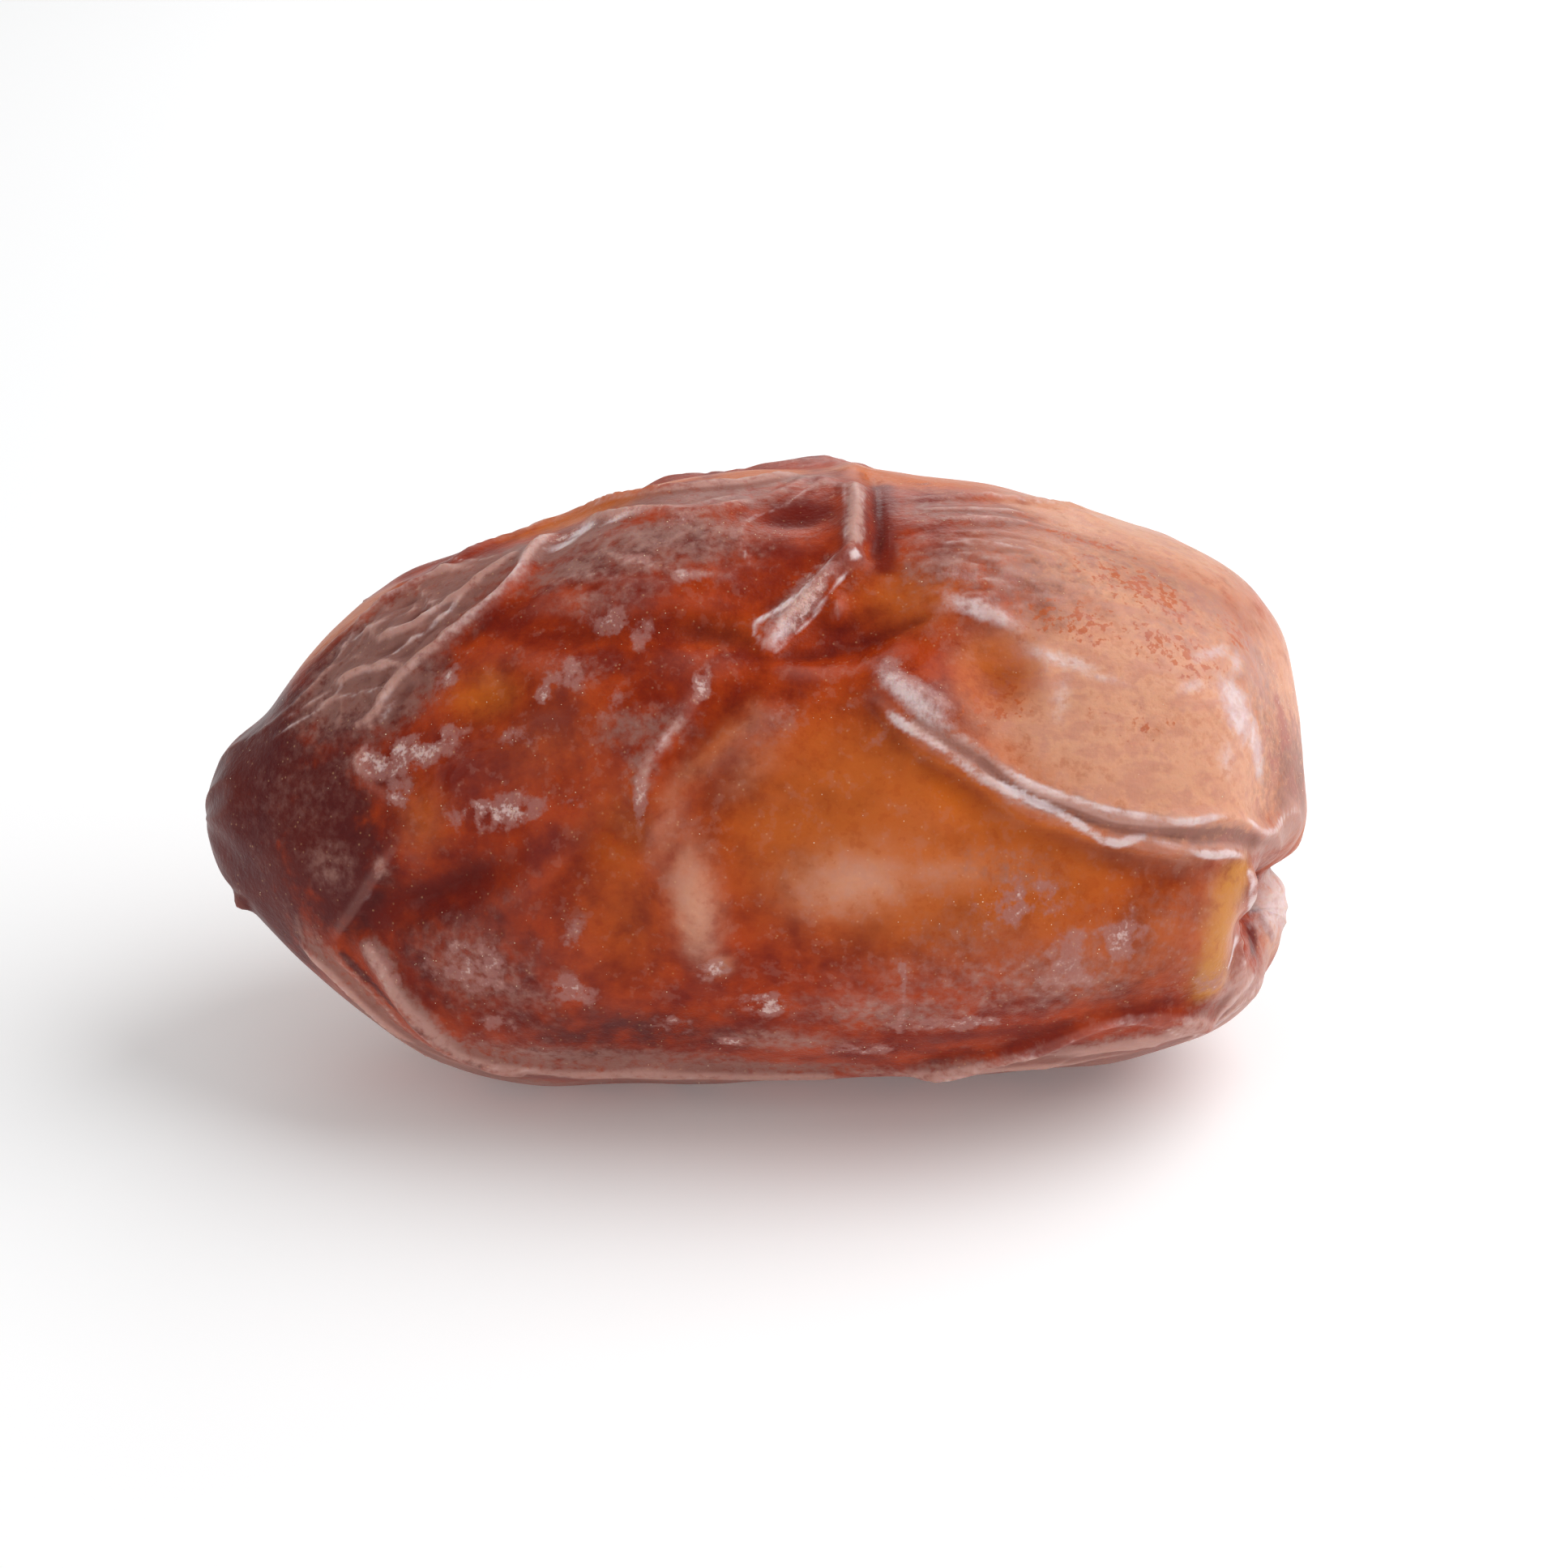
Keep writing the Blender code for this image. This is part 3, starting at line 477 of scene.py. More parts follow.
# The folds that are too thin for the solid
FINE_FOLDS = {
    **WrinkleRows().folds(),
    "lobe_edge_crest": Fold(
        (
            (27.6, 5.25), (29.4, 3.9), (31.1, 2.8), (33.8, 1.6), (35.2, 0.8), (36.5, 0.1),
            (37.5, 0.5), (38.4, 0.25), (39.4, -0.1), (40.3, -0.25), (41.0, -0.35), (41.9, -0.55),
        ),
        0.09, 0.3, wander=0.16, pale=1.35,
    ),
    "lobe_line_crest": Fold(
        (
            (31.4, 3.4), (33.4, 2.3), (34.9, 1.8), (37.5, 1.35), (39.4, 1.0), (39.9, 1.2),
            (40.7, 1.2), (41.6, 1.0), (42.7, 0.55), (43.4, 0.75), (43.9, 1.3), (44.5, 1.2),
        ),
        0.08, 0.26, wander=0.16, pale=1.0,
    ),
    "flap_left_edge": Fold(
        ((23.0, 7.4), (22.6, 8.8), (23.7, 9.7), (25.0, 10.6), (26.1, 11.6)),
        0.16, 0.2, fade=0.8, pale=1.0,
    ),
    "flap_right_edge": Fold(
        ((23.0, 7.4), (24.1, 8.5), (24.9, 9.4), (25.6, 10.2), (26.4, 11.0)),
        0.14, 0.18, fade=0.8, pale=1.0,
    ),
    "ridge_left_edge": Fold(
        ((26.2, 11.7), (26.2, 12.9), (26.2, 14.6)), 0.1, 0.22, fade=0.8, pale=0.5
    ),
    "ridge_right_edge": Fold(
        ((26.8, 11.8), (26.9, 12.8), (27.1, 14.4)), 0.08, 0.22, fade=0.8, pale=0.5
    ),
    "crease_far_line": Fold(
        ((27.9, 11.4), (27.95, 12.6), (27.9, 14.2)), 0.07, 0.2, pale=0.12
    ),
    "crease_hook": Fold(
        ((27.9, 11.9), (28.6, 12.3), (29.9, 12.45), (31.8, 12.3), (33.4, 12.0), (34.6, 11.7)),
        -0.09, 0.26, pale=0.0,
    ),
    "hollow_top_fold": Fold(
        ((27.0, 7.9), (28.6, 8.6), (30.0, 8.95), (31.2, 8.7), (32.9, 7.9), (34.6, 7.7)),
        -0.08, 0.3, pale=0.0,
    ),
    "hollow_top_crest": Fold(
        ((30.2, 9.6), (31.0, 9.3), (32.0, 8.8), (32.7, 8.4)), 0.14, 0.26, pale=0.9
    ),
    "outline_wrinkle": Fold(
        ((30.0, 14.0), (33.4, 13.7), (35.3, 13.5), (36.8, 13.0)), 0.1, 0.2, pale=0.6
    ),
    "left_edge_crest": Fold(
        (
            (14.6, 12.5), (13.9, 11.7), (13.3, 10.5), (12.4, 9.5), (11.1, 8.6),
            (9.7, 7.6), (8.4, 6.3), (7.4, 5.1),
        ),
        0.14, 0.26, pale=0.7,
    ),
    "left_second_crest": Fold(
        ((12.4, 10.9), (11.2, 10.0), (9.9, 9.2), (8.6, 8.7), (7.4, 8.3)),
        0.12, 0.2, pale=0.62,
    ),
    "left_upper_crest": Fold(
        ((11.8, 11.1), (10.6, 10.85), (9.6, 10.7), (8.7, 10.2)), 0.1, 0.18, pale=0.62
    ),
    "left_outer_line": Fold(
        ((8.8, 10.9), (7.6, 9.9), (6.4, 8.6), (5.4, 7.0), (3.9, 5.2), (2.2, 4.0)),
        0.12, 0.2, pale=0.39,
    ),
    "left_inner_line": Fold(
        ((12.1, 10.7), (10.5, 9.2), (8.6, 7.9), (7.2, 7.0)), 0.12, 0.2, pale=0.62
    ),
    "left_top_band": Fold(
        ((9.3, 11.0), (10.6, 11.2), (11.7, 11.3), (12.8, 11.5)), 0.1, 0.2, pale=0.62
    ),
    "left_high_line": Fold(
        ((4.8, 7.4), (6.3, 8.7), (7.4, 9.5), (8.6, 10.3)), 0.12, 0.2, pale=0.62
    ),
    "neck_line": Fold(
        ((3.2, 4.4), (4.4, 5.3), (5.6, 6.0), (6.6, 6.8)), 0.1, 0.2, pale=0.47
    ),
    "left_cross_line": Fold(
        ((8.8, 10.5), (9.5, 9.8), (10.3, 8.9)), 0.08, 0.16, fade=0.8, pale=0.39
    ),
    "left_low_cross": Fold(
        ((6.2, 7.6), (7.4, 7.4), (8.6, 7.2)), 0.08, 0.16, fade=0.8, pale=0.39
    ),
    "left_cross_crest": Fold(
        ((6.6, 9.2), (7.2, 8.5), (7.9, 8.0)), 0.1, 0.16, pale=0.47
    ),
    "left_fourth_crest": Fold(
        ((9.0, 7.3), (7.8, 7.1), (6.8, 6.9), (5.6, 5.6), (4.6, 4.9), (3.2, 4.0)),
        0.1, 0.18, pale=0.47,
    ),
    "left_inner_crest": Fold(
        ((8.6, 6.4), (8.1, 5.4), (7.5, 4.7), (6.6, 4.8)), 0.12, 0.2, pale=0.55
    ),
    "top_line_crest": Fold(
        ((12.6, 12.3), (14.0, 12.9), (15.6, 13.4), (17.2, 13.9), (19.6, 14.2), (22.0, 14.6)),
        0.1, 0.2, pale=0.47,
    ),
    "top_second_crest": Fold(
        ((14.6, 12.2), (16.2, 12.9), (18.0, 13.1), (19.8, 13.4), (22.4, 14.2)),
        0.1, 0.18, pale=0.39,
    ),
    "loose_skin_line": Fold(
        ((16.2, 11.6), (17.8, 11.1), (19.6, 10.7), (21.8, 10.6)), 0.1, 0.18, pale=0.47
    ),
    "loose_high_thread": Fold(
        ((15.0, 12.9), (17.8, 13.2), (19.8, 12.9), (21.4, 12.6)), 0.07, 0.18, pale=0.47
    ),
    "loose_low_thread": Fold(
        ((14.4, 10.2), (16.4, 10.5), (18.4, 10.2), (20.6, 10.6), (22.4, 10.3)),
        0.07, 0.18, pale=0.35,
    ),
    "dimple_left_thread": Fold(
        ((25.6, 14.8), (24.2, 14.0), (22.6, 13.2), (22.0, 12.0), (22.6, 10.9)),
        0.08, 0.2, pale=0.5,
    ),
    "membrane_thread": Fold(
        ((5.4, 7.6), (7.0, 8.6), (8.8, 9.3), (10.8, 9.9), (12.2, 10.2)),
        0.1, 0.2, pale=0.55,
    ),
    "membrane_low_thread": Fold(
        ((4.6, 5.2), (6.2, 5.9), (7.6, 6.2), (9.4, 6.6)), 0.08, 0.2, pale=0.39
    ),
    "spike_crest": Fold(
        ((20.5, 6.6), (19.9, 5.2), (19.0, 3.8), (18.4, 2.9), (18.1, 1.4)),
        0.06, 0.24, pale=0.5,
    ),
    "low_left_crest": Fold(
        ((6.9, -3.5), (7.7, -4.5), (8.3, -5.6), (9.2, -6.8), (10.5, -7.9), (12.2, -8.6), (14.6, -9.1)),
        0.1, 0.24, pale=0.43,
    ),
    "low_left_inner": Fold(
        ((5.6, -4.2), (6.6, -5.0), (7.8, -6.3), (9.2, -7.6), (11.2, -8.9)),
        0.1, 0.16, pale=0.55,
    ),
    "low_left_outer": Fold(
        ((5.0, -4.6), (6.0, -5.8), (7.2, -7.1), (8.4, -8.1), (10.2, -9.2)),
        0.1, 0.18, pale=0.39,
    ),
    "foot_crest": Fold(
        (
            (28.4, -9.2), (30.4, -8.8), (32.0, -8.5), (33.6, -8.0), (34.8, -7.4), (35.8, -6.8),
            (37.0, -6.6), (38.4, -6.8), (40.2, -7.4),
        ),
        0.1, 0.2, pale=0.55,
    ),
    "stem_lip_crest": Fold(
        ((41.9, -0.6), (42.3, -1.3), (42.5, -2.3), (42.4, -3.7), (42.2, -4.9), (42.3, -5.7)),
        0.1, 0.16, pale=1.0,
    ),
    "stem_slit": Fold(
        ((42.8, -0.9), (42.8, -2.0), (42.7, -3.1), (42.8, -4.2), (42.9, -5.0)),
        -0.5, 0.26, fade=0.8, pale=0.0,
    ),
    "strut_crest": Fold(
        ((43.3, -0.9), (43.1, -2.0), (42.95, -3.0), (43.1, -3.9), (43.4, -4.7)),
        0.2, 0.22, fade=0.8, pale=0.9,
    ),
    "foot_second": Fold(
        ((31.6, -9.2), (34.4, -8.6), (36.6, -7.8), (38.8, -7.9)), 0.08, 0.22, pale=0.39
    ),
    "foot_cross": Fold(
        ((37.1, -6.7), (38.2, -7.4), (39.0, -8.3)), 0.08, 0.2, fade=0.8, pale=0.31
    ),
    "end_low_crest": Fold(
        ((40.0, -8.2), (41.0, -7.3), (42.0, -6.5), (43.0, -5.9), (43.9, -5.1)),
        0.1, 0.18, pale=0.9,
    ),
}

# The crinkled skin: the place, radii and turn of each patch, then its crinkles' size and height
CRINKLES = (
    Crinkle((8.6, 8.6), (5.6, 3.2), 38.0, (1.5, 0.7), 0.13),
    Crinkle((18.4, 11.4), (5.5, 2.2), 8.0, (1.3, 0.7), 0.06),
    Crinkle((10.4, 2.6), (3.0, 2.2), 10.0, (0.7, 0.5), 0.05),
    Crinkle((41.2, 6.0), (2.4, 2.6), 0.0, (0.9, 0.6), 0.09),
    Crinkle((34.0, 10.0), (5.4, 2.8), -18.0, (1.6, 0.45), 0.1),
    Crinkle((38.0, 5.0), (5.0, 4.0), -10.0, (1.8, 0.5), 0.06),
    Crinkle((12.0, -5.2), (4.0, 2.4), -20.0, (0.8, 0.6), 0.05),
    Crinkle((31.0, -5.6), (8.0, 2.6), 0.0, (0.9, 0.6), 0.05),
    Crinkle((36.4, -8.2), (6.0, 1.2), 6.0, (1.3, 0.5), 0.06),
    Crinkle((43.8, -3.0), (1.4, 2.8), 0.0, (0.6, 0.9), 0.12),
)

# The patches of each pigment, whose masks hold the strongest of them at each point
PATCHES = {
    Pigment.AMBER: (
        Patch((29.0, 9.7), (2.6, 1.7), -10.0, 0.68), Patch((21.2, 8.3), (2.4, 0.9), -8.0, 0.3),
        Patch((21.4, 4.0), (2.6, 1.2), 50.0, 0.3), Patch((14.6, 4.4), (3.4, 2.6), 0.0, 0.3),
        Patch((29.6, 0.2), (9.0, 5.0), -8.0, 0.95, 1.6),
        Patch((36.5, -3.2), (6.0, 3.4), 0.0, 0.55, 1.5), Patch((17.4, -2.2), (2.6, 4.0), 0.0, 0.4),
        Patch((9.6, 1.0), (1.4, 1.6), 0.0, 0.5), Patch((12.2, 5.8), (1.8, 1.3), 0.0, 0.6),
        Patch((-1.0, 4.4), (6.0, 4.0), 20.0, 0.5, 1.0, Side.STEM),
    ),
    Pigment.PEACH: (
        Patch((39.2, 5.0), (8.2, 5.2), -14.0, 1.0, 2.4),
        Patch((37.8, 10.2), (6.4, 3.4), -18.0, 0.9, 1.5),
        Patch((38.0, -3.8), (6.8, 4.8), -10.0, 0.9, 1.4, Side.TOP),
        Patch((-4.4, 5.2), (6.2, 5.4), 0.0, 0.9, 1.3, Side.STEM),
        Patch((20.3, -2.4), (1.1, 2.9), 8.0, 0.65, 1.1), Patch((21.2, -4.6), (0.7, 0.7), 0.0, 0.6),
        Patch((26.4, -1.3), (2.8, 1.5), 8.0, 0.6), Patch((29.8, -0.9), (2.6, 0.9), 0.0, 0.35),
        Patch((22.6, 3.2), (2.4, 1.1), 50.0, 0.25), Patch((43.9, -2.8), (1.3, 2.8), 0.0, 0.9, 1.6),
        Patch((42.4, -7.0), (2.4, 1.0), 30.0, 0.4), Patch((41.4, -3.0), (1.5, 3.4), 0.0, 0.5),
    ),
    # Besides the dark brown of the tip: painted shade in the high dimple at (24.4, 13.2), on the
    # lower-left side at (11.0, -4.4) and (17.4, -7.4), and in the stem slit at (42.65, -4.0) and (42.8,
    # -1.5)
    Pigment.BROWN: (
        Patch((1.6, 0.4), (5.4, 7.4), 0.0, 1.0, 1.5), Patch((5.4, 0.2), (3.2, 5.0), 16.0, 1.0, 1.5),
        Patch((6.6, -2.0), (1.9, 1.7), 40.0, 0.9, 1.3), Patch((8.0, 2.6), (1.8, 2.2), 0.0, 0.55),
        Patch((6.6, 6.6), (4.6, 3.4), 40.0, 0.8, 1.5), Patch((10.2, 9.6), (4.4, 1.9), 34.0, 0.55),
        Patch((19.0, 11.9), (5.4, 1.9), 6.0, 0.6), Patch((24.4, 13.2), (1.7, 0.9), 0.0, 0.7),
        Patch((12.2, -5.6), (4.6, 2.6), -16.0, 0.2), Patch((15.4, -8.3), (5.0, 0.9), -4.0, 0.6),
        Patch((31.0, 12.4), (4.4, 2.4), -12.0, 0.35), Patch((38.4, 10.8), (5.0, 2.0), -24.0, 0.35),
        Patch((36.4, -5.6), (5.0, 1.8), 6.0, 0.38), Patch((11.0, -4.4), (5.4, 4.4), -20.0, 0.58),
        Patch((17.4, -7.4), (7.0, 1.8), -4.0, 0.66), Patch((42.65, -4.0), (0.42, 0.9), 0.0, 1.0),
        Patch((42.8, -1.5), (0.32, 0.6), 0.0, 0.9),
    ),
    Pigment.MAUVE: (
        Patch((3.0, 1.6), (2.6, 4.2), 0.0, 0.2), Patch((4.8, 1.9), (2.6, 3.0), 20.0, 0.27),
        Patch((6.6, 3.0), (1.6, 1.6), 0.0, 0.3), Patch((26.6, 13.4), (0.35, 1.7), 0.0, 1.0),
        Patch((20.6, 12.4), (2.4, 1.5), 10.0, 0.5), Patch((29.8, 11.0), (2.2, 1.4), 0.0, 0.5),
        Patch((8.4, 8.6), (5.8, 2.7), 40.0, 1.0, 1.8), Patch((8.0, 5.6), (2.4, 1.4), 60.0, 0.6),
        Patch((16.0, -8.6), (8.0, 1.3), -6.0, 0.7, 1.3), Patch((32.6, 10.8), (5.6, 2.8), -16.0, 0.5),
        Patch((12.6, 11.5), (3.6, 1.4), 24.0, 0.9), Patch((18.4, 13.5), (5.8, 1.0), 10.0, 0.8),
        Patch((18.8, 11.6), (5.0, 1.5), 4.0, 0.5), Patch((6.4, -5.8), (4.0, 1.2), -42.0, 0.75, 1.4),
        Patch((34.8, -8.9), (6.4, 1.3), 7.0, 1.1, 1.8), Patch((36.6, -3.2), (4.4, 2.2), 0.0, 0.25),
        Patch((40.2, -7.4), (3.2, 0.9), 18.0, 0.7, 1.4), Patch((44.0, -2.8), (2.6, 2.6), 0.0, 0.5, 1.4),
        Patch((42.2, -6.9), (3.0, 1.3), 40.0, 0.95, 1.6),
        Patch((-4.2, -6.6), (3.6, 1.7), 0.0, 0.9, 1.4, Side.STEM),
        Patch((15.2, 10.9), (2.4, 0.9), 0.0, 0.75), Patch((8.6, 6.2), (2.2, 1.3), 30.0, 0.9),
        Patch((32.4, -0.8), (3.2, 1.3), -10.0, 0.36), Patch((38.4, -2.6), (2.6, 1.8), 0.0, 0.3),
        Patch((30.6, -3.4), (3.0, 1.4), 0.0, 0.3), Patch((24.0, -7.8), (3.2, 1.1), 0.0, 0.55),
        Patch((3.4, 2.0), (1.8, 1.5), 20.0, 0.3), Patch((5.7, -0.7), (1.6, 1.4), 0.0, 0.42, 1.3),
        Patch((7.9, -0.9), (0.45, 0.9), 30.0, 0.45), Patch((31.2, 13.3), (4.0, 1.5), -8.0, 0.7),
        Patch((38.0, 10.6), (6.0, 1.6), -22.0, 0.4), Patch((25.2, 14.4), (1.6, 0.5), 0.0, 0.5),
        Patch((24.2, 9.5), (1.3, 0.6), 45.0, 0.9), Patch((16.2, 7.0), (2.2, 1.0), 0.0, 0.3),
        Patch((20.0, -9.0), (9.0, 0.8), 0.0, 0.8, 1.5),
        Patch((9.0, -2.4), (6.0, 2.4), -10.0, 0.9, 1.4, Side.BELLY),
        Patch((20.0, -1.8), (8.0, 2.2), 0.0, 0.75, 1.4, Side.BELLY),
        Patch((35.0, -2.2), (7.0, 2.6), 6.0, 0.9, 1.4, Side.BELLY),
        Patch((-7.2, 2.6), (2.8, 4.8), 8.0, 0.42, 1.0, Side.STEM),
        Patch((-3.0, 4.6), (5.0, 4.0), 30.0, 0.28, 1.0, Side.STEM),
        Patch((38.0, 1.0), (4.0, 3.4), 0.0, 0.25, 1.0, Side.TOP),
        Patch((36.0, 12.0), (4.6, 1.2), -14.0, 0.4), Patch((18.4, 4.5), (2.3, 1.0), 0.0, 0.6),
        Patch((18.2, 3.0), (0.8, 1.4), -10.0, 0.55), Patch((15.4, 12.2), (3.8, 1.3), 20.0, 1.0, 1.6),
        Patch((10.4, 10.9), (3.0, 1.0), 34.0, 0.95), Patch((20.6, 14.0), (3.6, 0.8), 6.0, 0.8),
        Patch((28.0, -6.6), (5.0, 1.4), 2.0, 0.55), Patch((33.0, -5.6), (8.0, 2.6), 4.0, 0.4),
        Patch((12.0, -5.4), (3.4, 2.4), -18.0, 0.45), Patch((23.6, 4.8), (2.0, 0.8), 50.0, 0.3),
        Patch((18.6, 12.3), (5.2, 1.4), 6.0, 0.65), Patch((44.3, 2.8), (2.8, 2.8), 0.0, 0.85),
        Patch((34.4, 9.4), (2.6, 1.0), -14.0, 0.35), Patch((42.6, 6.4), (2.6, 3.4), 10.0, 0.52),
        Patch((36.4, 10.8), (3.6, 1.2), -18.0, 0.42), Patch((40.4, 9.4), (2.6, 1.4), -30.0, 0.4),
        Patch((16.6, 9.6), (2.4, 0.9), 0.0, 0.4), Patch((39.6, 8.4), (3.4, 2.4), -20.0, 0.34),
    ),
    Pigment.ORANGE: (
        Patch((32.0, 6.5), (1.9, 1.7), 0.0, 0.85, 1.3), Patch((30.2, 2.0), (1.7, 0.8), -40.0, 0.7),
        Patch((33.8, 0.6), (3.2, 0.6), -16.0, 0.45), Patch((29.0, -0.2), (3.8, 0.5), -4.0, 0.45),
        Patch((12.2, 5.9), (1.5, 1.0), 0.0, 0.6), Patch((38.2, 10.2), (2.2, 0.8), -30.0, 0.3),
        Patch((36.2, 8.2), (2.4, 0.7), -12.0, 0.25), Patch((17.6, 0.6), (2.2, 2.4), 20.0, 0.4),
        # these four patches on the top paint a glow of light through the thin top rim
        Patch((5.8, -1.8), (2.8, 1.8), 0.0, 1.1, 1.2, Side.TOP),
        Patch((16.6, -1.5), (4.4, 2.6), -8.0, 1.2, 1.4, Side.TOP),
        Patch((22.8, -1.7), (2.2, 1.8), 10.0, 1.1, 1.3, Side.TOP),
        Patch((29.4, -1.6), (3.8, 2.5), 6.0, 1.2, 1.4, Side.TOP),
        Patch((21.2, 4.0), (2.6, 0.8), 50.0, 0.35), Patch((27.6, 9.7), (1.8, 1.4), 20.0, 0.22),
    ),
    # Patch (24.5, 13.0) is painted shade in the high dimple; the rest is deep red flesh
    Pigment.DEEP: (
        Patch((18.6, 8.7), (3.6, 0.8), -8.0, 0.65), Patch((16.4, 0.4), (2.2, 1.5), 0.0, 0.4),
        Patch((31.8, -7.4), (4.6, 0.8), 6.0, 0.75), Patch((22.7, -2.4), (0.8, 2.4), 6.0, 0.35),
        Patch((24.5, 13.0), (1.7, 1.1), 0.0, 0.95), Patch((11.0, -1.6), (3.8, 1.1), 14.0, 0.9),
        Patch((14.8, -7.0), (2.4, 0.8), 0.0, 0.4),
    ),
    Pigment.SPECKLE: (
        Patch((37.8, 10.2), (3.8, 1.9), -24.0, 0.76), Patch((39.0, 7.6), (2.9, 1.4), -14.0, 0.76),
        Patch((34.9, 8.8), (2.9, 1.2), -10.0, 0.76), Patch((36.0, 12.0), (3.0, 0.9), -20.0, 0.75),
        Patch((41.6, 8.4), (1.6, 1.6), 0.0, 0.7), Patch((37.0, 4.6), (3.4, 1.6), 0.0, 0.45),
        Patch((31.8, 5.6), (1.8, 1.4), 0.0, 0.8),
    ),
    Pigment.BLOOM: (
        Patch((-6.6, 4.4), (2.4, 2.2), 30.0, 0.5, 1.0, Side.STEM),
        Patch((12.6, 1.3), (2.25, 0.78), 8.0, 0.95), Patch((15.6, 1.7), (0.62, 0.39), 20.0, 0.8),
        Patch((11.4, -4.7), (2.38, 1.95), -10.0, 0.62, 1.4),
        Patch((12.6, -7.2), (2.0, 1.04), -20.0, 0.5), Patch((15.4, -5.8), (1.12, 0.91), -30.0, 0.75),
        Patch((15.2, -3.7), (1.75, 1.17), 0.0, 0.45), Patch((23.0, -6.2), (1.06, 0.78), 10.0, 1.0, 1.4),
        Patch((21.7, -7.8), (0.75, 0.45), -10.0, 0.85, 1.4),
        Patch((21.0, -4.9), (0.81, 0.72), 0.0, 0.9, 1.4), Patch((19.4, -7.1), (1.12, 1.04), 0.0, 0.6),
        Patch((32.8, -2.3), (2.12, 1.3), 8.0, 0.7), Patch((34.8, -4.9), (1.5, 1.82), 20.0, 0.65),
        Patch((37.0, -3.4), (1.12, 1.3), 20.0, 0.75), Patch((30.6, -7.0), (3.0, 0.72), 2.0, 0.7, 1.4),
        Patch((26.9, -8.2), (2.12, 0.78), 12.0, 0.7), Patch((40.6, -5.4), (1.25, 1.04), 0.0, 0.5),
        Patch((9.0, 3.6), (2.75, 0.91), 10.0, 0.85, 1.4), Patch((7.2, 3.4), (0.5, 0.65), 0.0, 1.0),
        Patch((8.6, 2.0), (0.75, 0.91), -40.0, 0.7), Patch((14.4, 5.9), (0.5, 0.45), 0.0, 1.0),
        Patch((15.1, 6.7), (1.5, 1.04), 10.0, 0.6), Patch((13.3, 4.3), (1.12, 0.52), 10.0, 0.6),
        Patch((10.6, 6.6), (1.25, 0.65), 45.0, 0.6), Patch((17.3, 8.7), (2.0, 0.91), -28.0, 0.65),
        Patch((15.1, 12.4), (1.25, 0.39), 12.0, 1.0), Patch((17.4, 13.0), (1.62, 0.33), 6.0, 0.9),
        Patch((19.6, 13.0), (1.12, 0.65), 20.0, 0.65), Patch((18.1, 11.2), (1.0, 0.39), -20.0, 0.6),
        Patch((20.2, 10.7), (1.12, 0.33), 0.0, 0.65), Patch((20.5, 6.2), (0.5, 0.91), -20.0, 0.8),
        Patch((18.2, 1.8), (0.38, 1.04), 0.0, 0.8), Patch((17.1, 5.6), (0.62, 0.91), 0.0, 0.5),
        # Patch (28.6, 5.9) paints the shoulder's highlight as pale bloom
        Patch((28.6, 5.9), (2.5, 0.78), -38.0, 0.7, 1.3), Patch((33.2, 10.1), (1.5, 0.39), -20.0, 0.6),
        Patch((31.4, 13.1), (1.25, 0.59), -8.0, 0.75), Patch((30.9, 14.1), (1.62, 0.39), -4.0, 0.65),
        Patch((29.2, 14.6), (1.0, 0.45), 0.0, 0.6), Patch((37.6, 11.9), (3.5, 0.52), -18.0, 0.35),
        Patch((27.0, 4.6), (2.75, 0.78), -38.0, 0.3), Patch((22.0, 12.6), (1.6, 0.9), 10.0, 0.6),
        Patch((30.6, 10.6), (1.3, 0.4), -14.0, 0.7), Patch((24.7, 9.4), (2.1, 0.5), 50.0, 0.95, 1.4),
    ),
    # Pale crest skin, except these painted highlights and glints: the shoulder at (28.7, 5.8), the
    # ridge's knot at (26.6, 11.4), the hollow's rim at (31.4, 9.2), and over the lobe at (34.4, 7.2),
    # (34.5, 5.7), (36.0, 6.6), (39.6, 6.3), (40.6, 7.6), (41.0, 3.4), (41.5, 7.2), (41.6, 5.4) and
    # (42.3, 3.9)
    Pigment.CREST: (
        Patch((23.6, 8.4), (0.95, 0.42), 50.0, 0.7), Patch((44.0, -2.4), (2.2, 1.8), 0.0, 0.7),
        Patch((28.7, 5.8), (2.0, 0.5), -38.0, 0.7), Patch((41.6, 5.4), (0.9, 1.5), 24.0, 0.9),
        Patch((41.0, 3.4), (0.7, 1.0), 0.0, 0.4), Patch((40.6, 7.6), (1.4, 0.35), 35.0, 0.6),
        Patch((34.4, 7.2), (1.9, 0.4), -16.0, 0.55), Patch((34.5, 5.7), (0.5, 1.3), -10.0, 0.4),
        Patch((31.4, 9.2), (1.7, 0.35), -22.0, 0.75), Patch((26.6, 11.4), (0.3, 0.25), 0.0, 1.0),
        Patch((15.7, 12.6), (0.7, 0.36), 10.0, 0.9, 1.2),
        Patch((15.0, 11.9), (0.75, 0.34), 8.0, 0.9, 1.2), Patch((17.3, 13.1), (1.1, 0.2), 4.0, 0.65),
        Patch((42.3, 3.9), (0.55, 1.6), 12.0, 0.75), Patch((39.6, 6.3), (1.0, 0.4), 20.0, 0.45),
        Patch((41.5, 7.2), (0.9, 0.5), 40.0, 0.5), Patch((36.0, 6.6), (1.6, 0.3), -12.0, 0.4),
    ),
}

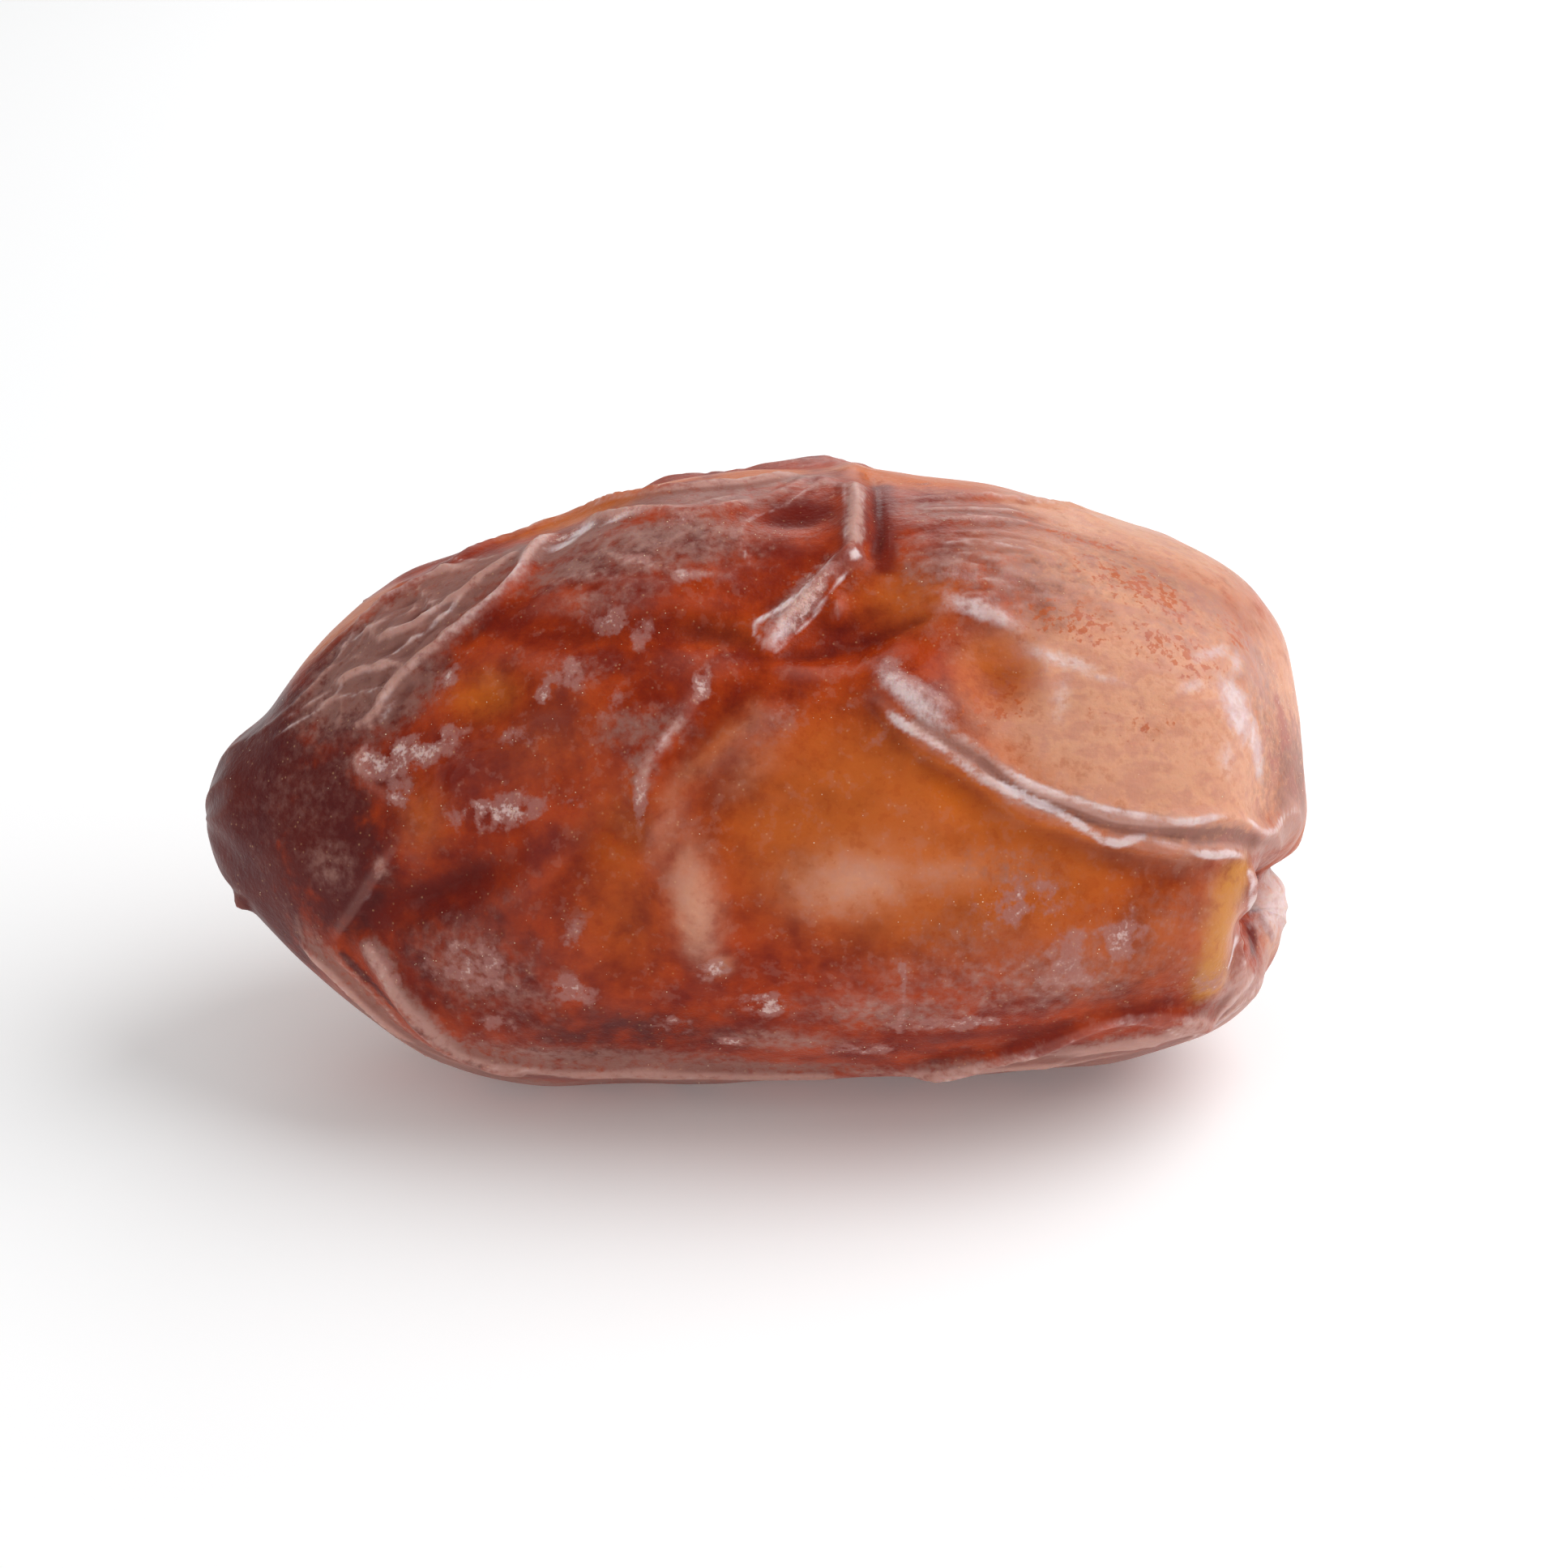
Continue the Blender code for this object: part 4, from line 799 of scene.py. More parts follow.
# The lines of each pigment, laid on in the same way
STROKES = {
    Pigment.PEACH: (
        Stroke(
            (
                (23.4, 5.6), (21.4, 4.0), (19.6, 2.2), (19.2, 0.4), (20.3, -2.2), (21.0, -4.8),
            ),
            0.8, 0.3,
        ),
    ),
    Pigment.BROWN: (
        Stroke(((6.0, -4.2), (7.9, -6.1), (9.8, -7.9), (11.8, -9.0)), 0.24, 0.9),
    ),
    Pigment.MAUVE: (
        Stroke(((13.5, 12.6), (16.0, 13.4), (19.0, 13.9), (22.5, 14.5), (25.5, 15.0)), 0.8, 0.85),
        Stroke(((29.0, -9.5), (33.0, -8.9), (36.4, -8.2), (38.6, -7.9), (41.2, -8.0)), 0.95, 1.0),
        Stroke(((4.6, -4.2), (7.0, -6.4), (9.3, -8.3), (11.6, -9.4), (15.0, -9.8)), 0.85, 1.0),
        Stroke(
            (
                (28.4, 5.0), (30.8, 3.6), (32.8, 2.3), (34.8, 1.5), (36.8, 0.9), (38.8, 0.6),
                (41.0, 0.4), (42.8, 0.1), (44.0, 0.6), (44.7, 1.8),
            ),
            0.55, 0.9,
        ),
        Stroke(((26.5, 11.6), (26.6, 13.0), (26.7, 14.6)), 0.42, 0.9),
        Stroke(
            (
                (6.9, -3.6), (7.7, -4.6), (8.4, -5.8), (9.3, -7.0), (10.7, -8.1), (12.6, -8.9),
                (16.0, -9.3), (20.0, -9.4), (26.0, -9.4),
            ),
            0.55, 0.85,
        ),
    ),
    Pigment.DEEP: (
        Stroke(((22.4, 4.0), (20.6, 2.6), (19.9, 1.2), (20.6, 0.0)), 0.5, 0.25),
        Stroke(((7.0, -3.4), (9.0, -2.2), (11.4, -1.2)), 0.8, 0.75),
        # painted shade in the crease
        Stroke(((27.75, 14.6), (27.75, 13.0), (27.65, 11.6), (27.8, 10.4)), 0.56, 1.0),
        # painted shade along the pucker's groove
        Stroke(((23.3, 7.3), (26.0, 7.7), (28.2, 8.5), (30.2, 9.0)), 0.4, 0.35),
        # painted shade along the crease's hook
        Stroke(((28.0, 12.5), (29.9, 12.5), (31.8, 12.35), (34.2, 11.8)), 0.22, 0.35),
        # painted shade in the dark gap of the stem slit, these two lines
        Stroke(((42.8, -0.9), (42.75, -2.0)), 0.24, 1.0),
        Stroke(((42.8, -3.1), (42.85, -4.8)), 0.34, 1.0),
        Stroke(((43.9, -1.0), (43.5, -0.8)), 0.3, 0.7),
        # a painted shadow streak at the stem end
        Stroke(((43.0, -2.7), (43.4, -3.4), (43.8, -4.0)), 0.28, 0.7),
    ),
    Pigment.GOLD: (
        Stroke(
            (
                (41.5, 0.0), (41.5, -1.0), (41.2, -2.2), (40.9, -3.6), (40.8, -4.8), (40.9, -6.2),
            ),
            1.0, 0.9,
        ),
    ),
    Pigment.BLOOM: (
        Stroke(((7.2, -3.6), (8.0, -4.8), (8.6, -5.9)), 0.45, 0.6),
        Stroke(((28.3, -4.4), (28.5, -5.6), (28.2, -7.6)), 0.22, 0.55),
        Stroke(((25.6, -6.9), (27.4, -6.2)), 0.16, 0.6),
    ),
    Pigment.CREST: (
        Stroke(
            (
                (42.0, -0.8), (42.25, -1.5), (42.2, -2.2), (41.85, -3.0), (41.6, -4.0), (41.3, -5.0),
            ),
            0.2, 0.8,
        ),
        Stroke(((40.0, -8.2), (41.4, -7.2), (42.6, -6.1), (43.6, -5.2)), 0.2, 0.5),
    ),
}

# How each pigment looks, in the order that the pigments are laid over the red of the flesh
COATS = {
    Pigment.AMBER: Coat(tone(196, 100, 38), 0.9, Grain.BROAD, 0.5, (0.0, 1.0)),
    Pigment.PEACH: Coat(tone(226, 166, 134), 0.92, Grain.MIDDLE, 0.5, (0.0, 0.95)),
    Pigment.BROWN: Coat(tone(80, 21, 22), 0.9, Grain.MIDDLE, 0.8, (0.1, 0.8)),
    Pigment.MAUVE: Coat(tone(150, 105, 95), 0.86, Grain.FINE, 0.9, (0.1, 0.8)),
    Pigment.ORANGE: Coat(tone(204, 100, 18), 0.85, Grain.MIDDLE, 0.7, (0.05, 0.9)),
    Pigment.DEEP: Coat(tone(112, 20, 4), 0.82, Grain.MIDDLE, 0.5, (0.1, 0.9)),
    Pigment.SPECKLE: Coat(tone(190, 88, 36), 0.75, Grain.PITS, 2.2, (0.6, 1.0)),
    Pigment.GOLD: Coat(tone(204, 132, 38), 0.9, Grain.MIDDLE, 0.8, (0.0, 1.0)),
    Pigment.BLOOM: Coat(tone(172, 116, 108), 0.75, Grain.MIDDLE, 1.6, (0.34, 0.66)),
    Pigment.CREST: Coat(tone(232, 212, 212), 0.9, Grain.FINE, 0.55, (0.12, 0.8)),
}


def smooth_curve(knots: Sizes, values: Sizes, at: Sizes) -> Sizes:
    """Read at some places a smooth curve that passes through values at knots.

    Args:
        knots: Where the curve's values are known, rising.
        values: The value, or the row of values, at each knot.
        at: Where to read the curve.

    Returns:
        One value, or one row of values, for each place.
    """
    knots = np.asarray(knots, float)
    values = np.asarray(values, float)
    slopes = np.gradient(values, knots, axis=0)
    left = np.clip(np.searchsorted(knots, at, side="right") - 1, 0, len(knots) - 2)
    step = knots[left + 1] - knots[left]
    t = (at - knots[left]) / step
    if values.ndim > 1:
        t = t[:, None]
        step = step[:, None]
    start = (1 + 2 * t) * (1 - t) ** 2 * values[left] + t * (1 - t) ** 2 * step * slopes[left]
    end = t**2 * (3 - 2 * t) * values[left + 1] + t**2 * (t - 1) * step * slopes[left + 1]
    return start + end


def smooth_step(low: float, high: float, value: Sizes) -> Sizes:
    """Give 0 below low and 1 above high, with a smooth rise between them.

    Args:
        low: Where the rise begins.
        high: Where it ends.
        value: What to measure against the two.

    Returns:
        A share from 0 to 1 for each value.
    """
    t = np.clip((value - low) / (high - low), 0.0, 1.0)
    return t * t * (3 - 2 * t)


def gradient_noise(points: Sizes, seed: int, gain: float = 1.6) -> Sizes:
    """Make smooth noise whose features are about one unit wide.

    Args:
        points: Where to read it, one row of three for each.
        seed: Which noise.
        gain: How much it is raised, so that it runs from about -1 to 1.

    Returns:
        One value for each point.
    """
    draw = np.random.default_rng(seed)
    order = draw.permutation(NOISE_CELLS)
    order = np.concatenate([order, order, order])
    slopes = draw.normal(size=(NOISE_CELLS, 3))
    slopes /= np.linalg.norm(slopes, axis=1)[:, None]
    corner = np.floor(points).astype(int)
    inside = points - corner
    corner %= NOISE_CELLS
    ease = inside**3 * (inside * (inside * 6 - 15) + 10)
    total = np.zeros(len(points))
    for dx in (0, 1):
        for dy in (0, 1):
            for dz in (0, 1):
                step = np.array((dx, dy, dz))
                at = (corner + step) % NOISE_CELLS
                slope = slopes[order[order[order[at[:, 0]] + at[:, 1]] + at[:, 2]]]
                weight = np.prod(np.where(step == 1, ease, 1 - ease), axis=1)
                total += weight * np.einsum("ij,ij->i", slope, inside - step)
    return total * gain


def blurred(grid: Sizes, cells: int) -> Sizes:
    """Average a grid over its neighbours, around the fruit and along it.

    Args:
        grid: A grid of points, whose columns close on themselves.
        cells: How many cells to average over, each way.

    Returns:
        A grid of the same shape.
    """
    rows, reach = len(grid), 2 * cells
    spread = np.exp(-0.5 * (np.arange(-reach, reach + 1) / cells) ** 2)
    spread /= spread.sum()
    around = sum(w * np.roll(grid, k - reach, axis=1) for k, w in enumerate(spread))
    held = np.clip(np.arange(-reach, rows + reach), 0, rows - 1)
    padded = around[held]
    return sum(w * padded[k : k + rows] for k, w in enumerate(spread))


class Skin:
    """The skin as a grid of points, with the way that each of them faces.

    A point is seen from a side where it faces that side by least_facing or more. Where skin lies
    behind skin, within layer_reach of a place, only what is less than layer_gap behind the nearest
    is seen. Lines over the skin are cut into steps of about path_step.
    """

    least_facing = 0.06
    path_step = 0.5
    layer_reach = 0.2
    layer_gap = 3.2

    def __init__(self, grid: Sizes) -> None:
        """Take the first places of the points, ring by ring."""
        self.shape = grid.shape
        self.settle(grid)

    def settle(self, grid: Sizes) -> None:
        """Take new places for the skin's points.

        Args:
            grid: The new places, in the same order.
        """
        along = np.gradient(grid, axis=0)
        around = np.roll(grid, -1, axis=1) - np.roll(grid, 1, axis=1)
        normal = np.cross(along, around)
        for ring, inner in ((0, 1), (-1, -2)):
            spoke = (grid[inner] - grid[ring]) * (1 if ring == 0 else -1)
            turn = np.roll(grid[inner], -1, axis=0) - grid[inner]
            normal[ring] = np.cross(spoke, turn).sum(axis=0)
        normal /= np.maximum(np.linalg.norm(normal, axis=2, keepdims=True), TINY**2)
        self.grid = grid
        self.points = grid.reshape(-1, 3)
        self.normals = normal.reshape(-1, 3)

    def push(self, height: Sizes) -> None:
        """Move every point outwards, with one height where a ring is a single point.

        Args:
            height: How far each point moves.
        """
        rise = height.reshape(self.shape[:2]).copy()
        rise[0] = rise[0].mean()
        rise[-1] = rise[-1].mean()
        self.settle(self.grid + rise[:, :, None] * self.normals.reshape(self.shape))

    def nearest(self, side: Side, place: Place) -> int:
        """Find the point that is seen at a place, in front of any deeper skin.

        Args:
            side: The side that is looked at.
            place: The two distances of the place.

        Returns:
            The point's index.
        """
        first, second, facing = side.value
        seen = self.normals @ np.array(facing) > self.least_facing
        off = (self.points[:, first] - place[0]) ** 2 + (self.points[:, second] - place[1]) ** 2
        close = seen & (off < self.layer_reach**2)
        if close.any():
            depth = self.points @ np.array(facing)
            seen &= depth > depth[close].max() - self.layer_gap
        return int(np.argmin(np.where(seen, off, np.inf)))

    def spread(self, side: Side, place: Place, radii: Place, turn_deg: float) -> Sizes:
        """Measure how far each point lies from a place, in radii of an ellipse, squared.

        Args:
            side: The side that the place is seen on.
            place: The ellipse's middle.
            radii: Its long and short radius.
            turn_deg: How far its long radius is turned up.

        Returns:
            The squared share for each point, 1 on the ellipse's edge.
        """
        index = self.nearest(side, place)
        centre, normal = self.points[index], self.normals[index]
        first, second, _ = side.value
        turn = math.radians(turn_deg)
        way = np.zeros(3)
        way[first] = math.cos(turn)
        way[second] = math.sin(turn)
        way -= normal * (way @ normal)
        way /= np.linalg.norm(way)
        side_way = np.cross(normal, way)
        off = self.points - centre
        long, short = radii
        share = (off @ way / long) ** 2 + (off @ side_way / short) ** 2
        return share + (off @ normal / max(radii)) ** 2

    def across(self, side: Side, places: Iterable[Place], limit: float) -> tuple[Sizes, ...]:
        """Measure the points near a smooth line over the skin.

        Args:
            side: The side that the line is seen on.
            places: The places that it passes through.
            limit: How far from the line a point can lie.

        Returns:
            The indices of the points near the line, how far each lies to its left, how far along
            the line it is from the start, and how far from the end.
        """
        corners = np.array([self.points[self.nearest(side, place)] for place in places])
        lengths = np.linalg.norm(np.diff(corners, axis=0), axis=1)
        run = np.concatenate([[0.0], np.cumsum(np.maximum(lengths, TINY))])
        count = max(3, int(run[-1] / self.path_step))
        line = smooth_curve(run, corners, np.linspace(0.0, run[-1], count))
        low, high = line.min(axis=0) - limit, line.max(axis=0) + limit
        near = np.flatnonzero(((self.points > low) & (self.points < high)).all(axis=1))
        points, normals = self.points[near], self.normals[near]
        starts, steps = line[:-1], np.diff(line, axis=0)
        lengths = np.linalg.norm(steps, axis=1)
        begun = np.concatenate([[0.0], np.cumsum(lengths)])
        ahead = points @ steps.T - (starts * steps).sum(axis=1)
        share = np.clip(ahead / lengths**2, 0.0, 1.0)
        apart = (points**2).sum(axis=1)[:, None] + (starts**2).sum(axis=1) - 2 * points @ starts.T
        apart += share**2 * lengths**2 - 2 * share * ahead
        best = np.argmin(apart, axis=1)
        t = share[np.arange(len(near)), best]
        off = points - starts[best] - t[:, None] * steps[best]
        left = np.cross(normals, steps[best] / lengths[best][:, None])
        distance = np.linalg.norm(off, axis=1)
        sign = np.sign(np.einsum("ij,ij->i", off, left))
        along = begun[best] + t * lengths[best]
        return near, sign * distance, along, begun[-1] - along


@dataclass(frozen=True)
class FruitForm:
    """The fruit's named sizes, as in its solid, and how its skin is worked from them."""

    length: float = 45.0
    roll_deg: float = 25.0
    section_power: float = 2.25
    pressed_depth: float = 0.75
    press_softness: float = 0.16
    flat_spot_rise: float = 0.08
    rows: int = ROWS
    columns: int = COLUMNS
    front_share: float = 0.42
    outline_steps: int = 4000
    lumps: tuple[Place, ...] = ((7.5, 0.32), (3.6, 0.14))
    lump_seed: int = 11
    lump_shift: float = 7.3
    wander_length: float = 3.0
    wander_seed: int = 5
    crest_sharpness: float = 1.7
    lip_sharpness: float = 2.0
    fold_limit: float = 3.0
    wrinkles: tuple[Triple, ...] = ((11.0, 3.8, 0.6), (7.0, 2.0, 0.16))
    front_wrinkles: float = 0.1
    front_begins: Place = (-0.7, 0.2)
    wrinkles_grow: Place = (0.0, 6.0)
    wrinkles_fade: Triple = (38.0, 44.0, 0.6)
    wrinkle_bend: float = 0.6
    wrinkle_softness: float = 0.07
    wrinkle_fall: float = 1.6
    wrinkle_level: float = 0.55
    wrinkle_seed: int = 41
    stem_pleats: Triple = (2.1, 0.22, 4.2)
    tip_pleats: Triple = (1.6, 0.18, 3.0)
    pleat_fall: float = 2.5
    pleat_spread: float = 0.6
    pleat_seed: int = 23
    bead_length: float = 0.7
    bead_heights: Place = (0.85, 0.3)
    bead_seed: int = 61
    gap_length: float = 1.3
    gap_pales: Place = (0.72, 0.75)
    pale_limits: Place = (0.15, 1.15)
    pale_width: float = 0.6
    gap_seed: int = 67
    crinkle_seed: int = 71
    crinkle_bend: float = 0.35
    crinkle_bend_closeness: float = 0.6
    crinkle_bend_seed: int = 111
    crinkle_level: float = 0.5
    crinkle_fall: float = 1.9
    crinkle_softness: float = 0.06
    hidden_from: Place = (0.1, -0.5)
    hidden_crinkle_size: Triple = (1.6, 0.8, 0.8)
    hidden_crinkle_height: float = 0.1
    middle_of_view: Triple = (23.27, 0.0, 2.417)

    def plain(self) -> Sizes:
        """Shape the fruit without its folds.

        Returns:
            A grid of rings from the tip on, whose first and last ring is a single point.
        """
        table = np.array(SECTIONS)
        swing = np.arccos(1 - 2 * table[:, 0] / self.length)
        turns = np.linspace(0.0, math.pi, self.outline_steps + 1)
        tops = smooth_curve(swing, table[:, 1] - table[:, 3], turns)
        places = self.length * (1 - np.cos(turns)) / 2
        run = np.concatenate([[0.0], np.cumsum(np.hypot(np.diff(places), np.diff(tops)))])
        stations = np.interp(np.linspace(0.0, run[-1], self.rows + 1), run, places)
        read = smooth_curve(swing, table[:, 1:], np.arccos(1 - 2 * stations / self.length))
        top, bottom, axis, front, back, forward = read.T[:, :, None]
        angle = np.linspace(0.0, 2 * math.pi, self.columns, endpoint=False)[None, :]
        angle = angle - self.front_share * np.sin(angle)
        over, up = np.cos(angle), np.sin(angle)
        wide = np.maximum(np.where(over > 0, front - forward, back + forward), TINY)
        tall = np.maximum(np.where(up > 0, top - axis, axis - bottom), TINY)
        rim = (tall * np.abs(over)) ** self.section_power + (wide * np.abs(up)) ** self.section_power
        radius = wide * tall / rim ** (1 / self.section_power)
        grid = np.empty((self.rows + 1, self.columns, 3))
        grid[:, :, 0] = stations[:, None]
        grid[:, :, 1] = -forward - radius * over
        grid[:, :, 2] = axis + radius * up
        grid[0] = grid[0].mean(axis=0)
        grid[-1] = grid[-1].mean(axis=0)
        return grid

    def fold_heights(self, skin: Skin, fold: Fold, crests: Sizes, beaded: bool) -> Sizes:
        """Raise one fold, and mark the pale of its crest.

        Args:
            skin: The skin that the fold lies in.
            fold: The fold.
            crests: The mask of pale crests, which this adds to.
            beaded: Whether the crest is broken into beads.

        Returns:
            How far the fold moves each point.
        """
        limit = self.fold_limit * max(fold.width, fold.reach if fold.lip else 0.0)
        near, off, begun, left = skin.across(fold.side, fold.places, limit)
        strength = np.sin(np.clip(np.minimum(begun, left) / fold.fade, 0.0, 1.0) * math.pi / 2)
        places = skin.points[near] / self.wander_length
        off = off + fold.wander * gradient_noise(places, self.wander_seed)
        strength = strength * (1 + fold.wander * gradient_noise(places, self.wander_seed + 1))
        if beaded:
            beads = gradient_noise(skin.points[near] / self.bead_length, self.bead_seed)
            level, swing = self.bead_heights
            strength = strength * (level + swing * beads)
        bend = np.hypot(1.0, self.crest_sharpness * off / fold.width)
        past = (1 + np.tanh(self.lip_sharpness * off / fold.width)) / 2
        raised = past * np.exp(-((off / fold.reach) ** 2))
        heights = np.zeros(len(skin.points))
        heights[near] = strength * (fold.height * np.exp(1 - bend) + fold.lip * raised)
        if fold.height > 0:
            gaps = gradient_noise(skin.points[near] / self.gap_length, self.gap_seed)
            level, swing = self.gap_pales
            strength = strength * np.clip(level + swing * gaps, *self.pale_limits)
            pale = fold.pale * strength * np.exp(-((off / (self.pale_width * fold.width)) ** 2))
            crests[near] = np.maximum(crests[near], pale)
        return heights

    def pleat_heights(self, skin: Skin, end: Sizes, pleats: tuple[float, ...]) -> Sizes:
        """Raise uneven pleats that run in to one end of the fruit.

        Args:
            skin: The skin.
            end: The point that they run in to.
            pleats: How close together they are, how deep, and where they are deepest.

        Returns:
            How far they move each point.
        """
        closeness, depth, reach = pleats
        off = skin.points - end
        distance = np.linalg.norm(off, axis=1)
        angle = np.arctan2(off[:, 2], off[:, 1])
        around = (closeness * np.cos(angle), closeness * np.sin(angle), distance / (2 * reach))
        noise = gradient_noise(np.stack(around, axis=1), self.pleat_seed)
        fade = np.exp(-(((distance - reach) / (self.pleat_spread * reach)) ** 2))
        return depth * (1 - self.pleat_fall * np.abs(noise)) * fade

    def wrinkle_heights(self, skin: Skin) -> Sizes:
        """Raise wrinkles along the fruit, strong on its back and belly and weak on its front.

        Args:
            skin: The skin.

        Returns:
            How far they move each point.
        """
        along, facing = skin.points[:, 0], -skin.normals[:, 1]
        share = 1 - (1 - self.front_wrinkles) * smooth_step(*self.front_begins, facing)
        fade_from, fade_to, faded = self.wrinkles_fade
        ends = smooth_step(*self.wrinkles_grow, along)
        ends = ends * (1 - faded * smooth_step(fade_from, fade_to, along))
        total = np.zeros(len(skin.points))
        for number, (length, width, height) in enumerate(self.wrinkles):
            places = skin.points / (length, width, width)
            bend = gradient_noise(places, self.wrinkle_seed + len(self.wrinkles) + number)
            places[:, 1:] += self.wrinkle_bend * bend[:, None]
            noise = gradient_noise(places, self.wrinkle_seed + number)
            fall = self.wrinkle_fall * np.hypot(noise, self.wrinkle_softness)
            total += height * (self.wrinkle_level - fall)
        return total * share * ends

    def crinkle_heights(self, skin: Skin) -> Sizes:
        """Raise the small broken creases of skin that dried loose, and a few on the rest.

        Args:
            skin: The skin.

        Returns:
            How far they move each point.
        """
        total = np.zeros(len(skin.points))
        x, y, z = skin.points.T
        for number, crinkle in enumerate(CRINKLES):
            apart = skin.spread(Side.FRONT, crinkle.place, crinkle.radii, crinkle.turn_deg)
            turn = math.radians(crinkle.turn_deg)
            long, short = crinkle.size
            along = (x * math.cos(turn) + z * math.sin(turn)) / long
            over = (z * math.cos(turn) - x * math.sin(turn)) / short
            places = np.stack((along, y / short, over), axis=1)
            bends = gradient_noise(self.crinkle_bend_closeness * places, self.crinkle_bend_seed)
            places += self.crinkle_bend * bends[:, None]
            ridges = self.crinkle_ridges(places, number)
            total += crinkle.height * ridges * np.exp(-(apart**2))
        hidden = smooth_step(*self.hidden_from, -skin.normals[:, 1])
        ridges = self.crinkle_ridges(skin.points / self.hidden_crinkle_size, len(CRINKLES))
        return total + self.hidden_crinkle_height * hidden * ridges

    def crinkle_ridges(self, places: Sizes, number: int) -> Sizes:
        """Make the ridges of one kind of crinkle, with sharp tops.

        Args:
            places: The places to read, in crinkles.
            number: Which kind.

        Returns:
            One share of the crinkles' height for each place, negative between the ridges.
        """
        noise = gradient_noise(places, self.crinkle_seed + number)
        return self.crinkle_level - self.crinkle_fall * np.hypot(noise, self.crinkle_softness)

    def worked(self) -> tuple[Skin, Sizes]:
        """Work every swell, fold and crinkle into the skin.

        Returns:
            The skin in the fruit's own frame, and how pale a crest each of its points is.
        """
        skin = Skin(self.plain())
        crests = np.zeros(len(skin.points))
        heights = np.zeros(len(skin.points))
        for number, (width, height) in enumerate(self.lumps):
            places = skin.points / width + self.lump_shift
            heights += height * gradient_noise(places, self.lump_seed + number)
        for swell in SWELLS.values():
            apart = skin.spread(swell.side, swell.place, swell.radii, swell.turn_deg)
            heights += swell.height * np.exp(-apart)
        folds = self.wrinkle_heights(skin)
        for fold in FOLDS.values():
            folds += self.fold_heights(skin, fold, crests, False)
        for fold in FINE_FOLDS.values():
            folds += self.fold_heights(skin, fold, crests, True)
        folds += self.pleat_heights(skin, skin.grid[-1, 0], self.stem_pleats)
        folds += self.pleat_heights(skin, skin.grid[0, 0], self.tip_pleats)
        folds += self.crinkle_heights(skin)
        skin.push(heights)
        skin.push(folds)
        return skin, crests

    def laid_down(self, skin: Skin) -> tuple[Sizes, Sizes]:
        """Roll the fruit onto its belly and press that flat on the floor.

        Args:
            skin: The worked skin, in the fruit's own frame.

        Returns:
            The skin's grid as it lies, and the place of the middle of the view.
        """
        roll = math.radians(-self.roll_deg)
        turn = np.array(
            (
                (1.0, 0.0, 0.0),
                (0.0, math.cos(roll), -math.sin(roll)),
                (0.0, math.sin(roll), math.cos(roll)),
            )
        )
        lying = skin.grid @ turn.T
        aim = turn @ np.array(self.middle_of_view)
        rest = lying[:, :, 2].min() + self.pressed_depth
        soft = self.press_softness
        height = soft * np.logaddexp(0.0, (lying[:, :, 2] - rest) / soft) - self.flat_spot_rise
        lying[:, :, 2] = np.maximum(height, 0.0)
        aim[2] -= rest + self.flat_spot_rise
        middle = (lying.min(axis=(0, 1)) + lying.max(axis=(0, 1))) / 2
        lying[:, :, :2] -= middle[:2]
        aim[:2] -= middle[:2]
        return lying, aim


@dataclass(frozen=True)
class Masks:
    """The masks on the skin: one for each pigment, and how far each point stands proud."""

    fine_cells: int = 2
    fine_height: float = 0.05
    broad_cells: int = 8
    broad_height: float = 0.25
    stroke_limit: float = 2.5
    hidden_from: Place = (0.15, -0.45)
    hidden_stretch: Triple = (5.5, 2.4, 2.4)
    hidden: tuple[tuple[Pigment, float, float, float], ...] = (
        (Pigment.AMBER, 0.35, 0.9, 0.9),
        (Pigment.PEACH, -0.3, 1.0, 0.6),
        (Pigment.BROWN, 0.22, 1.0, 0.8),
        (Pigment.ORANGE, -0.3, 1.0, 0.7),
        (Pigment.DEEP, 0.05, 1.0, 0.8),
        (Pigment.MAUVE, 0.22, 1.0, 0.85),
        (Pigment.BLOOM, 0.0, 1.1, 0.8),
    )
    seed: int = 101

    def laid(self, skin: Skin, crests: Sizes) -> dict[str, Sizes]:
        """Lay every mask on the worked skin.

        Args:
            skin: The worked skin, in the fruit's own frame.
            crests: How pale a crest each point is.

        Returns:
            The masks by name, with one value for each point of the grid.
        """
        masks = {pigment: np.zeros(len(skin.points)) for pigment in Pigment}
        masks[Pigment.CREST] += crests
        for pigment, patches in PATCHES.items():
            for patch in patches:
                apart = skin.spread(patch.side, patch.place, patch.radii, patch.turn_deg)
                value = patch.strength * np.exp(-(apart**patch.plateau))
                masks[pigment] = np.maximum(masks[pigment], value)
        for pigment, strokes in STROKES.items():
            for stroke in strokes:
                limit = self.stroke_limit * stroke.width
                near, off, begun, left = skin.across(Side.FRONT, stroke.places, limit)
                ends = np.clip(np.minimum(begun, left) / stroke.width, 0.0, 1.0)
                value = stroke.strength * ends * np.exp(-((off / stroke.width) ** 2))
                masks[pigment][near] = np.maximum(masks[pigment][near], value)
        hidden = smooth_step(*self.hidden_from, -skin.normals[:, 1])
        for number, (pigment, level, swing, most) in enumerate(self.hidden):
            noise = gradient_noise(skin.points / self.hidden_stretch, self.seed + number)
            value = most * hidden * np.clip(level + swing * noise, 0.0, 1.0)
            masks[pigment] = np.maximum(masks[pigment], value)
        named = {pigment.value: mask for pigment, mask in masks.items()}
        named["fine"] = self.proud(skin, self.fine_cells) / self.fine_height
        named["broad"] = self.proud(skin, self.broad_cells) / self.broad_height
        return named

    def proud(self, skin: Skin, cells: int) -> Sizes:
        """Measure how far each point stands out of the skin around it.

        Args:
            skin: The skin.
            cells: How wide a piece of skin to compare with.

        Returns:
            One height for each point, negative in a hollow.
        """
        off = skin.grid - blurred(skin.grid, cells)
        return np.einsum("ij,ij->i", off.reshape(-1, 3), skin.normals)


